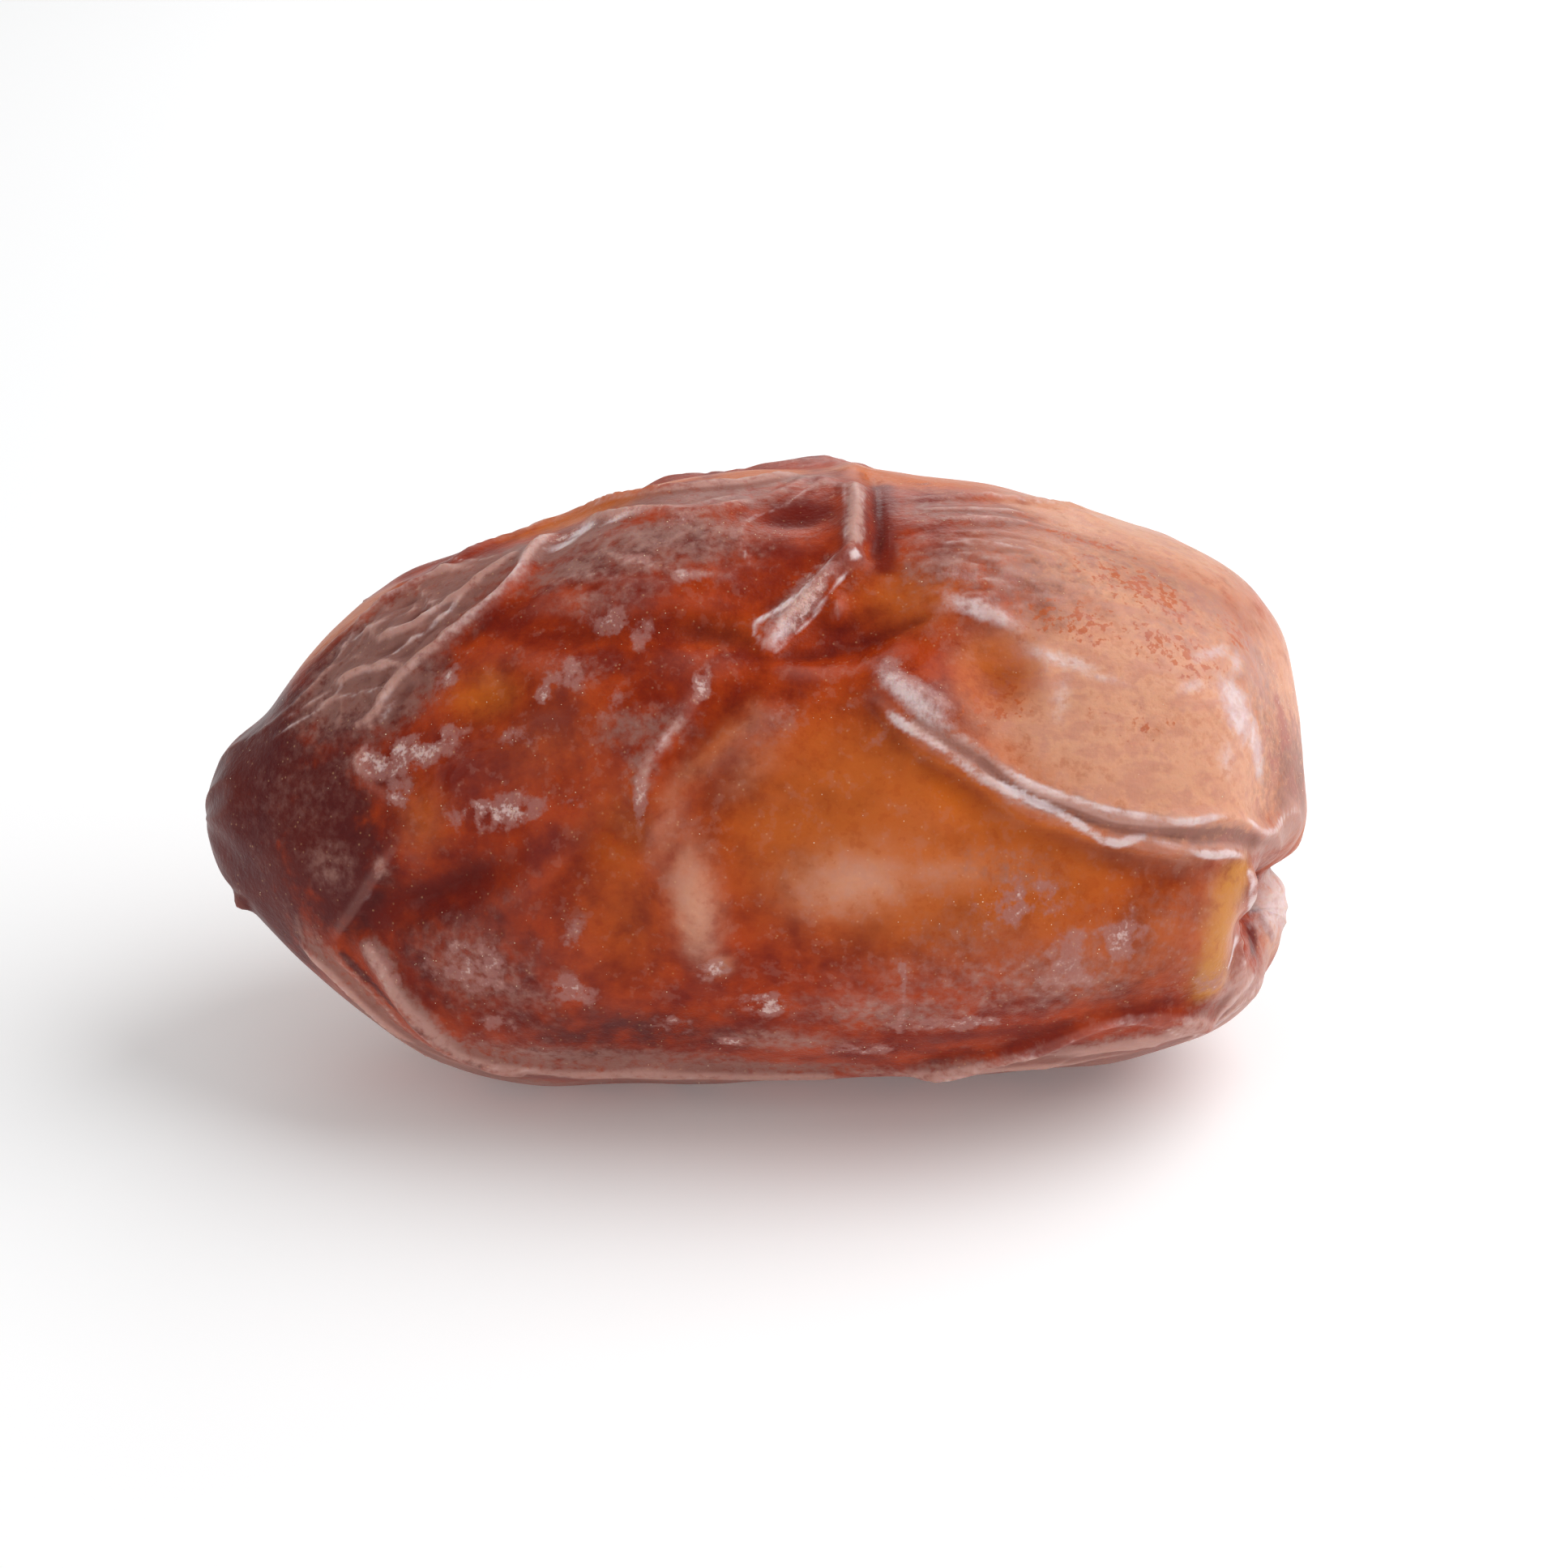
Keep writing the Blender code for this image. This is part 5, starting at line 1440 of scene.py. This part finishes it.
def skin_mesh(grid: Sizes, masks: Mapping[str, Sizes]) -> bpy.types.Mesh:
    """Make a closed mesh of the skin, in metres, with its masks.

    Args:
        grid: The skin as it lies, whose first and last rings are single points.
        masks: The masks by name, one value for each point of the grid.

    Returns:
        The mesh.
    """

    def kept(values: Sizes) -> Sizes:
        """Keep one point of each end ring, and every other point."""
        return np.concatenate([values[0, :1], *values[1:-1], values[-1, :1]])

    rings, columns = grid.shape[0] - 2, grid.shape[1]
    points = kept(grid) * MM
    last = len(points) - 1
    column = np.arange(columns)
    after = (column + 1) % columns
    starts = 1 + columns * np.arange(rings - 1)[:, None]
    quads = np.stack(
        (starts + column, starts + after, starts + columns + after, starts + columns + column),
        axis=2,
    ).reshape(-1, 4)
    final = 1 + columns * (rings - 1)
    caps = [(0, 1 + b, 1 + a) for a, b in zip(column, after)]
    caps += [(final + a, final + b, last) for a, b in zip(column, after)]
    mesh = bpy.data.meshes.new("date_skin")
    mesh.from_pydata(points.tolist(), [], [tuple(map(int, cap)) for cap in caps] + quads.tolist())
    mesh.update()
    for name, mask in masks.items():
        layer = mesh.attributes.new(name, "FLOAT", "POINT")
        layer.data.foreach_set("value", kept(mask.reshape(grid.shape[:2])).astype(np.float32))
    mesh.shade_smooth()
    return mesh


class Signal:
    """A number or a colour that a material's nodes work out, to be used in sums."""

    coarseness = 0.6

    def __init__(self, tree: bpy.types.NodeTree, socket: bpy.types.NodeSocket) -> None:
        """Take the output of a node in a tree."""
        self.tree = tree
        self.socket = socket

    def made(
        self,
        kind: str,
        values: Mapping[int | str, object],
        output: int = 0,
        **settings: object,
    ) -> Signal:
        """Add a node.

        Args:
            kind: The node's type.
            values: What goes into its sockets, by number or name.
            output: Which of its outputs to use.
            **settings: Its other settings.

        Returns:
            The node's output.
        """
        node = self.tree.nodes.new(kind)
        for name, setting in settings.items():
            setattr(node, name, setting)
        for slot, value in values.items():
            if isinstance(value, Signal):
                self.tree.links.new(value.socket, node.inputs[slot])
            else:
                node.inputs[slot].default_value = value
        return Signal(self.tree, node.outputs[output])

    def maths(self, operation: str, *others: Signal | float) -> Signal:
        """Work out a sum of this and other values.

        Args:
            operation: The operation of a math node.
            *others: The other values.

        Returns:
            The result.
        """
        values = dict(enumerate((self, *others)))
        return self.made("ShaderNodeMath", values, operation=operation)

    def __add__(self, other: Signal | float) -> Signal:
        """Add another value."""
        return self.maths("ADD", other)

    def __sub__(self, other: Signal | float) -> Signal:
        """Take another value away."""
        return self.maths("SUBTRACT", other)

    def __rsub__(self, other: float) -> Signal:
        """Take this away from a number."""
        return (self * -1.0) + other

    def __mul__(self, other: Signal | float) -> Signal:
        """Multiply by another value."""
        return self.maths("MULTIPLY", other)

    def size(self) -> Signal:
        """Drop the sign."""
        return self.maths("ABSOLUTE")

    def rise(self, low: float, high: float) -> Signal:
        """Rise smoothly from 0 at low to 1 at high."""
        values = {0: self, 1: low, 2: high, 3: 0.0, 4: 1.0}
        return self.made("ShaderNodeMapRange", values, interpolation_type="SMOOTHSTEP")

    def toward(self, share: Signal | float, colour: Signal | Colour) -> Signal:
        """Mix this colour with another."""
        values = {0: share, 6: self, 7: colour}
        return self.made("ShaderNodeMix", values, 2, data_type="RGBA")

    def times(self, share: Signal | float, colour: Signal | Colour) -> Signal:
        """Multiply this colour by another, as far as the share goes."""
        values = {0: share, 6: self, 7: colour}
        return self.made("ShaderNodeMix", values, 2, data_type="RGBA", blend_type="MULTIPLY")

    def noise(
        self,
        per_mm: float,
        shift: float = 0.0,
        detail: float = 3.0,
        stretch: Triple = (1.0, 1.0, 1.0),
    ) -> Signal:
        """Read smooth noise, from 0 to 1, at this place."""
        scale = tuple(per_mm / MM * part for part in stretch)
        moved = self.moved(shift, scale)
        values = {"Vector": moved, "Scale": 1.0, "Detail": detail, "Roughness": self.coarseness}
        return self.made("ShaderNodeTexNoise", values, noise_dimensions="3D")

    def specks(self, per_mm: float, shift: float = 0.0) -> Signal:
        """Measure how far this place is from the nearest of many scattered points."""
        moved = self.moved(shift, (per_mm / MM,) * 3)
        return self.made("ShaderNodeTexVoronoi", {"Vector": moved, "Scale": 1.0})

    def moved(self, shift: float, scale: Triple) -> Signal:
        """Shift and scale this place."""
        values = {"Vector": self, "Location": (shift,) * 3, "Scale": scale}
        return self.made("ShaderNodeMapping", values)

    def mask(self, name: str) -> Signal:
        """Read a mask of the skin by its name."""
        return self.made("ShaderNodeAttribute", {}, 2, attribute_name=name)


def mixed(grains: Mapping[Grain, Signal], shares: Iterable[tuple[Grain, float]]) -> Signal:
    """Add up some grains of noise.

    Args:
        grains: The noise of each grain.
        shares: The grains to add, each with its share.

    Returns:
        The sum.
    """
    first, *others = (grains[grain] * share for grain, share in shares)
    return sum(others, first)


@dataclass(frozen=True)
class Film:
    """A film over the pigments: its colour, how much it covers and where its signal lets it in."""

    colour: Colour
    cover: float
    edge: Place


@dataclass(frozen=True)
class SkinFinish:
    """The look of the skin: the red of its flesh, its pigments, its gloss and its grain.

    The films lie over the pigments: a dull film and a stain in blotches, a veil over the peach of
    the stem end, bright powder in the bloom, the pale of proud skin, painted shade in hollows, and
    scattered specks. An edge is where a film begins and where it is whole.
    """

    dark_flesh: Colour = tone(124, 26, 2)
    pale_flesh: Colour = tone(176, 60, 8)
    pale_edge: Place = (0.3, 0.7)
    fray_swing: float = 2.0
    fray_shift: float = 0.35
    mask_edge: Place = (0.02, 0.15)
    blotches: tuple[tuple[Grain, float], ...] = (
        (Grain.MIDDLE, 0.8),
        (Grain.FINE, 0.5),
        (Grain.PITS, 0.3),
    )
    clumps: tuple[tuple[Grain, float], ...] = (
        (Grain.FINE, 0.9),
        (Grain.POWDER, 0.5),
        (Grain.MIDDLE, 1.0),
    )
    film: Film = Film(tone(186, 130, 114), 0.15, (0.84, 0.94))
    film_bared: float = 0.7
    stain: Film = Film(tone(212, 150, 118), 0.2, (0.66, 0.74))
    streaks: tuple[float, float, float, Triple] = (1.3, 61.0, 3.0, (0.4, 1.0, 1.0))
    veil: Film = Film(tone(184, 112, 104), 0.3, (0.46, 0.58))
    veil_mix: Place = (0.45, 0.55)
    powder: Film = Film(tone(226, 194, 188), 0.85, (1.7, 2.0))
    powder_bloom: float = 0.7
    proud: Film = Film(tone(214, 168, 156), 0.12, (0.1, 1.4))
    proud_mix: Place = (0.6, 0.5)
    proud_mauve: float = 0.4
    # painted shade: darker where the skin lies below the skin around it
    hollow_shade: Film = Film(tone(160, 66, 44), 0.5, (0.1, 1.5))
    hollow_shade_mix: Place = (-0.6, -0.6)
    specks: Film = Film(tone(226, 176, 130), 0.3, (0.07, 0.2))
    speck_scatter: Place = (3.2, 5.0)
    speck_edge: Place = (0.45, 0.6)
    roughness: float = 0.36
    bloom_roughness: float = 0.3
    mauve_roughness: float = 0.1
    coat: float = 0.1
    gloss: float = 0.11
    coat_roughness: float = 0.14
    ior: float = 1.45
    flesh_glow: float = 0.3
    glow_reach: Triple = (1.0, 0.34, 0.14)
    glow_depth: float = 1.4
    grain_height: float = 0.04
    pore_height: float = 0.012
    bloom_pore_height: float = 0.07
    crease_height: float = 0.06

    def material(self) -> bpy.types.Material:
        """Build the skin's material from the masks and noise.

        Returns:
            The material.
        """
        material = bpy.data.materials.new(SLOT)
        material.use_nodes = True
        tree = material.node_tree
        surface = tree.nodes["Principled BSDF"]
        place = Signal(tree, tree.nodes.new("ShaderNodeTexCoord").outputs["Object"])
        grains = {grain: place.noise(*grain.value) for grain in Grain}
        streak = place.noise(*self.streaks)
        colour, shares = self.pigmented(place, grains)
        colour = self.filmed(colour, shares, grains, streak)
        colour = self.powdered(colour, shares, grains, place)
        self.set_surface(tree, surface, colour, shares)
        values = {
            "Strength": 1.0,
            "Distance": MM,
            "Height": self.relief(grains, streak, place.mask(Pigment.BLOOM.value)),
        }
        bump = place.made("ShaderNodeBump", values)
        tree.links.new(bump.socket, surface.inputs["Normal"])
        return material

    def pigmented(
        self, place: Signal, grains: Mapping[Grain, Signal]
    ) -> tuple[Signal, dict[Pigment, Signal]]:
        """Lay the pigments over the red of the flesh.

        Args:
            place: The place on the skin.
            grains: The noise of each grain.

        Returns:
            The colour, and the share of the skin that each pigment holds.
        """
        warmth = grains[Grain.BROAD].rise(*self.pale_edge)
        colour = place.made("ShaderNodeRGB", {}).toward(1.0, self.dark_flesh)
        colour = colour.toward(warmth, self.pale_flesh)
        shares = {}
        for pigment, coat in COATS.items():
            mask = place.mask(pigment.value)
            fray = (grains[coat.grain] - 0.5) * coat.fray
            frayed = mask * (fray * self.fray_swing + 1.0) + fray * self.fray_shift
            shares[pigment] = frayed.rise(*coat.edge) * mask.rise(*self.mask_edge)
            colour = colour.toward(shares[pigment] * coat.cover, coat.colour)
        return colour, shares

    def filmed(
        self,
        colour: Signal,
        shares: Mapping[Pigment, Signal],
        grains: Mapping[Grain, Signal],
        streak: Signal,
    ) -> Signal:
        """Lay the dull film, the stain and the veil over the pigments.

        Args:
            colour: The colour so far.
            shares: The share of the skin that each pigment holds.
            grains: The noise of each grain.
            streak: Noise that is drawn out along the fruit.

        Returns:
            The colour with the films.
        """
        blotch = mixed(grains, self.blotches)
        bare = 1.0 - shares[Pigment.BROWN] * self.film_bared
        bare = bare * (1.0 - shares[Pigment.DEEP] * self.film_bared)
        film = blotch.rise(*self.film.edge) * bare
        colour = colour.toward(film * self.film.cover, self.film.colour)
        stain = 1.0 - blotch.rise(*self.stain.edge)
        colour = colour.times(stain * self.stain.cover, self.stain.colour)
        streaks, clouds = self.veil_mix
        veil = (streak * streaks + grains[Grain.MIDDLE] * clouds).rise(*self.veil.edge)
        return colour.toward(veil * shares[Pigment.PEACH] * self.veil.cover, self.veil.colour)

    def powdered(
        self,
        colour: Signal,
        shares: Mapping[Pigment, Signal],
        grains: Mapping[Grain, Signal],
        place: Signal,
    ) -> Signal:
        """Add the powder of the bloom, the light of proud skin, painted shade in hollows and specks.

        Args:
            colour: The colour so far.
            shares: The share of the skin that each pigment holds.
            grains: The noise of each grain.
            place: The place on the skin.

        Returns:
            The whole colour of the skin.
        """
        bloom = place.mask(Pigment.BLOOM.value) * self.powder_bloom
        powder = (bloom + mixed(grains, self.clumps)).rise(*self.powder.edge)
        powder = powder * shares[Pigment.BLOOM]
        colour = colour.toward(powder * self.powder.cover, self.powder.colour)
        fine, broad = place.mask("fine"), place.mask("broad")
        fine_share, broad_share = self.proud_mix
        proud = (fine * fine_share + broad * broad_share).rise(*self.proud.edge)
        cover = shares[Pigment.MAUVE] * self.proud_mauve + self.proud.cover
        colour = colour.toward(proud * cover, self.proud.colour)
        # painted shade in hollows
        fine_share, broad_share = self.hollow_shade_mix
        hollow_shade = (fine * fine_share + broad * broad_share).rise(*self.hollow_shade.edge)
        colour = colour.times(hollow_shade * self.hollow_shade.cover, self.hollow_shade.colour)
        specks = 1.0 - place.specks(*self.speck_scatter).rise(*self.specks.edge)
        specks = specks * grains[Grain.MIDDLE].rise(*self.speck_edge)
        return colour.toward(specks * self.specks.cover, self.specks.colour)

    def relief(self, grains: Mapping[Grain, Signal], streak: Signal, bloom: Signal) -> Signal:
        """Make the fine unevenness of the skin, in millimetres.

        Args:
            grains: The noise of each grain.
            streak: Noise that is drawn out along the fruit.
            bloom: The mask of the bloom, where the pores are deeper.

        Returns:
            The height.
        """
        grain = grains[Grain.FINE] * self.grain_height
        pores = grains[Grain.POWDER] * (bloom * self.bloom_pore_height + self.pore_height)
        creases = (streak - 0.5).size() * self.crease_height
        return grain + pores - creases

    def set_surface(
        self,
        tree: bpy.types.NodeTree,
        surface: bpy.types.Node,
        colour: Signal,
        shares: Mapping[Pigment, Signal],
    ) -> None:
        """Set the sockets of the skin's surface.

        Args:
            tree: The material's nodes.
            surface: The node of the surface.
            colour: The skin's colour.
            shares: The share of the skin that each pigment holds.
        """
        bloom = shares[Pigment.BLOOM]
        dull = bloom * self.bloom_roughness + shares[Pigment.MAUVE] * self.mauve_roughness
        values = {
            "Base Color": colour,
            "Roughness": dull + self.roughness,
            "Coat Weight": (1.0 - bloom) * self.coat,
            "Coat Roughness": self.coat_roughness,
            "Metallic": 0.0,
            "IOR": self.ior,
            "Specular IOR Level": self.gloss,
            "Subsurface Weight": self.flesh_glow,
            "Subsurface Radius": self.glow_reach,
            "Subsurface Scale": self.glow_depth * MM,
        }
        for slot, value in values.items():
            if isinstance(value, Signal):
                tree.links.new(value.socket, surface.inputs[slot])
            else:
                surface.inputs[slot].default_value = value


@dataclass(frozen=True)
class SugarGrains:
    """Grains of dry sugar on the skin, more of them where the bloom is."""

    least: float = 0.012
    most: float = 0.04
    per_mm2: float = 0.07
    bloom_per_mm2: float = 9.0
    clumps_per_mm: float = 1.1
    clump_detail: float = 2.0
    clump_edge: Place = (0.4, 0.65)
    least_shape: Triple = (0.55, 0.55, 0.45)
    most_shape: Triple = (1.0, 1.0, 0.8)
    seed: int = 4
    name: str = "sugar_grains"
    colour: Colour = tone(236, 208, 176)
    roughness: float = 0.3

    def material(self) -> bpy.types.Material:
        """Make the grains' glassy finish."""
        material = bpy.data.materials.new("sugar")
        material.use_nodes = True
        surface = material.node_tree.nodes["Principled BSDF"]
        surface.inputs["Base Color"].default_value = self.colour
        surface.inputs["Roughness"].default_value = self.roughness
        surface.inputs["Metallic"].default_value = 0.0
        return material

    def tree(self, material: bpy.types.Material) -> bpy.types.NodeTree:
        """Build the nodes that scatter the grains.

        Args:
            material: What the grains are made of.

        Returns:
            The node tree, with named inputs for the sizes of the grains and how many there are.
        """
        tree = bpy.data.node_groups.new("scattered_grains", "GeometryNodeTree")
        face = tree.interface
        face.new_socket("Skin", in_out="INPUT", socket_type="NodeSocketGeometry")
        for name, value in self.sizes().items():
            socket = "NodeSocketInt" if isinstance(value, int) else "NodeSocketFloat"
            face.new_socket(name, in_out="INPUT", socket_type=socket).default_value = value
        face.new_socket("Grains", in_out="OUTPUT", socket_type="NodeSocketGeometry")
        given = tree.nodes.new("NodeGroupInput").outputs
        sizes = {name: Signal(tree, given[name]) for name in self.sizes()}
        skin = Signal(tree, given["Skin"])
        bloom = skin.made("GeometryNodeInputNamedAttribute", {"Name": Pigment.BLOOM.value})
        values = {"Scale": self.clumps_per_mm / MM, "Detail": self.clump_detail}
        clumps = skin.made("ShaderNodeTexNoise", values).rise(*self.clump_edge)
        density = sizes["Grains per m2"] + sizes["Bloom grains per m2"] * bloom * clumps
        spots = tree.nodes.new("GeometryNodeDistributePointsOnFaces")
        tree.links.new(skin.socket, spots.inputs["Mesh"])
        tree.links.new(density.socket, spots.inputs["Density"])
        tree.links.new(sizes["Seed"].socket, spots.inputs["Seed"])
        points = Signal(tree, spots.outputs["Points"])
        grain = skin.made("GeometryNodeMeshIcoSphere", {"Radius": 1.0, "Subdivisions": 1})
        seed, kind = sizes["Seed"], "FunctionNodeRandomValue"
        values = {0: self.least_shape, 1: self.most_shape, "Seed": seed + 1.0}
        shape = skin.made(kind, values, data_type="FLOAT_VECTOR")
        values = {2: sizes["Least radius"], 3: sizes["Most radius"], "Seed": seed + 2.0}
        radius = skin.made(kind, values, 1, data_type="FLOAT")
        scale = skin.made("ShaderNodeVectorMath", {0: shape, "Scale": radius}, operation="SCALE")
        values = {0: (0.0,) * 3, 1: (math.tau,) * 3, "Seed": seed + 3.0}
        turn = skin.made(kind, values, data_type="FLOAT_VECTOR")
        placed = points.made(
            "GeometryNodeInstanceOnPoints",
            {"Points": points, "Instance": grain, "Scale": scale, "Rotation": turn},
        )
        real = placed.made("GeometryNodeRealizeInstances", {"Geometry": placed})
        done = real.made("GeometryNodeSetMaterial", {"Geometry": real, "Material": material})
        out = tree.nodes.new("NodeGroupOutput")
        tree.links.new(done.socket, out.inputs["Grains"])
        return tree

    def sizes(self) -> dict[str, float | int]:
        """List the named inputs of the node tree."""
        return {
            "Least radius": self.least * MM,
            "Most radius": self.most * MM,
            "Grains per m2": self.per_mm2 / MM**2,
            "Bloom grains per m2": self.bloom_per_mm2 / MM**2,
            "Seed": self.seed,
        }

    def scattered(self, skin: bpy.types.Object) -> bpy.types.Object:
        """Scatter the grains over the skin.

        Args:
            skin: The skin, with its masks.

        Returns:
            The grains as one object with a plain mesh.
        """
        grains = bpy.data.objects.new(self.name, skin.data.copy())
        bpy.context.scene.collection.objects.link(grains)
        tree = self.tree(self.material())
        scatter = grains.modifiers.new("scatter", "NODES")
        scatter.node_group = tree
        for item in tree.interface.items_tree:
            if item.name in self.sizes() and item.in_out == "INPUT":
                scatter[item.identifier] = self.sizes()[item.name]
        graph = bpy.context.evaluated_depsgraph_get()
        mesh = bpy.data.meshes.new_from_object(grains.evaluated_get(graph))
        mesh.name = self.name
        grains.modifiers.clear()
        grains.data = mesh
        return grains


@dataclass(frozen=True)
class Lamp:
    """A soft round light: where it hangs and how wide it is, in metres, and its power in watts."""

    place: Triple
    size: float
    power: float
    colour: Triple


LAMPS = {
    "key": Lamp((0.16, 0.0, 0.2), 0.26, 0.5, (0.97, 0.985, 1.0)),
    "fill": Lamp((-0.2, -0.2, 0.12), 0.16, 0.1, (1.0, 0.98, 0.96)),
    "rim": Lamp((0.02, 0.2, 0.1), 0.1, 0.05, (1.0, 1.0, 1.0)),
}


@dataclass(frozen=True)
class Studio:
    """A pale floor, three soft lights and the camera of the photograph."""

    floor_size: float = 3.0
    floor_tone: Colour = tone(252, 252, 252)
    floor_glow: float = 0.12
    floor_roughness: float = 0.9
    lamp_aim: Triple = (0.0, 0.0, 0.012)
    elevation_deg: float = 25.0
    lens: float = 110.0
    sensor: float = 36.0
    view_width: float = 64.5
    nearest_seen: float = 0.001
    world_tone: Colour = (1.0, 1.0, 1.0, 1.0)
    world_strength: float = 0.46

    def floor(self) -> bpy.types.Object:
        """Lay the floor.

        Returns:
            The floor, which is no part of the fruit.
        """
        half = self.floor_size / 2
        mesh = bpy.data.meshes.new("floor")
        corners = [(-half, -half, 0.0), (half, -half, 0.0), (half, half, 0.0), (-half, half, 0.0)]
        mesh.from_pydata(corners, [], [(0, 1, 2, 3)])
        material = bpy.data.materials.new("floor")
        material.use_nodes = True
        surface = material.node_tree.nodes["Principled BSDF"]
        values = {
            "Base Color": self.floor_tone,
            "Roughness": self.floor_roughness,
            "Specular IOR Level": 0.0,
            "Emission Color": self.floor_tone,
            "Emission Strength": self.floor_glow,
        }
        for slot, value in values.items():
            surface.inputs[slot].default_value = value
        mesh.materials.append(material)
        floor = bpy.data.objects.new("floor", mesh)
        bpy.context.scene.collection.objects.link(floor)
        return floor

    def light(self, name: str, lamp: Lamp) -> None:
        """Hang a light that points at the fruit.

        Args:
            name: The light's name.
            lamp: The light.
        """
        light = bpy.data.lights.new(name, "AREA")
        light.shape = "DISK"
        light.size = lamp.size
        light.energy = lamp.power
        light.color = lamp.colour
        holder = bpy.data.objects.new(name, light)
        bpy.context.scene.collection.objects.link(holder)
        holder.location = lamp.place
        aim = Vector(self.lamp_aim) - Vector(lamp.place)
        holder.rotation_euler = aim.to_track_quat("-Z", "Y").to_euler()

    def camera(self, aim: Vector) -> None:
        """Place the camera.

        Args:
            aim: The place in the middle of the view, in metres.
        """
        camera = bpy.data.cameras.new("camera")
        camera.lens = self.lens
        camera.sensor_width = self.sensor
        camera.clip_start = self.nearest_seen
        holder = bpy.data.objects.new("camera", camera)
        bpy.context.scene.collection.objects.link(holder)
        tilt = math.radians(self.elevation_deg)
        back = Vector((0.0, -math.cos(tilt), math.sin(tilt)))
        holder.location = aim + back * (self.view_width / self.sensor * self.lens * MM)
        holder.rotation_euler = (-back).to_track_quat("-Z", "Y").to_euler()
        bpy.context.scene.camera = holder

    def set_up(self, aim: Vector) -> None:
        """Set up the whole studio.

        Args:
            aim: The place in the middle of the view, in metres.
        """
        floor = self.floor()
        for name, lamp in LAMPS.items():
            self.light(name, lamp)
        world = bpy.data.worlds.new("world")
        world.use_nodes = True
        sky = world.node_tree.nodes["Background"]
        sky.inputs["Color"].default_value = self.world_tone
        sky.inputs["Strength"].default_value = self.world_strength
        bpy.context.scene.world = world
        bpy.context.scene.view_settings.view_transform = "Standard"
        self.camera(aim)


@dataclass(frozen=True)
class DateFruit:
    """The fruit: its skin in place of the solid's, and the sugar on it."""

    form: FruitForm = field(default_factory=FruitForm)
    masks: Masks = field(default_factory=Masks)
    finish: SkinFinish = field(default_factory=SkinFinish)
    grains: SugarGrains = field(default_factory=SugarGrains)

    def build(self) -> Vector:
        """Build the fruit's pieces and put them in the frame.

        Returns:
            The place in the middle of the view, in metres.
        """
        skin, crests = self.form.worked()
        masks = self.masks.laid(skin, crests)
        grid, aim = self.form.laid_down(skin)
        fruit = bpy.data.objects.new("date_skin", skin_mesh(grid, masks))
        bpy.context.scene.collection.objects.link(fruit)
        fruit.data.materials.append(self.finish.material())
        sugar = self.grains.scattered(fruit)
        LOG.info("the grains have %d faces", len(sugar.data.polygons))
        for piece in (fruit, sugar):
            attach(piece, BODY)
        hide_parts(NODE)
        return Vector(aim) * MM


def main() -> None:
    """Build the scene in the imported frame."""
    logging.basicConfig(level=logging.INFO, format="%(name)s: %(message)s")
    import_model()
    form = FruitForm()
    aim = DateFruit(form=form).build()
    Studio().set_up(aim)


if __name__ == "__main__":
    main()
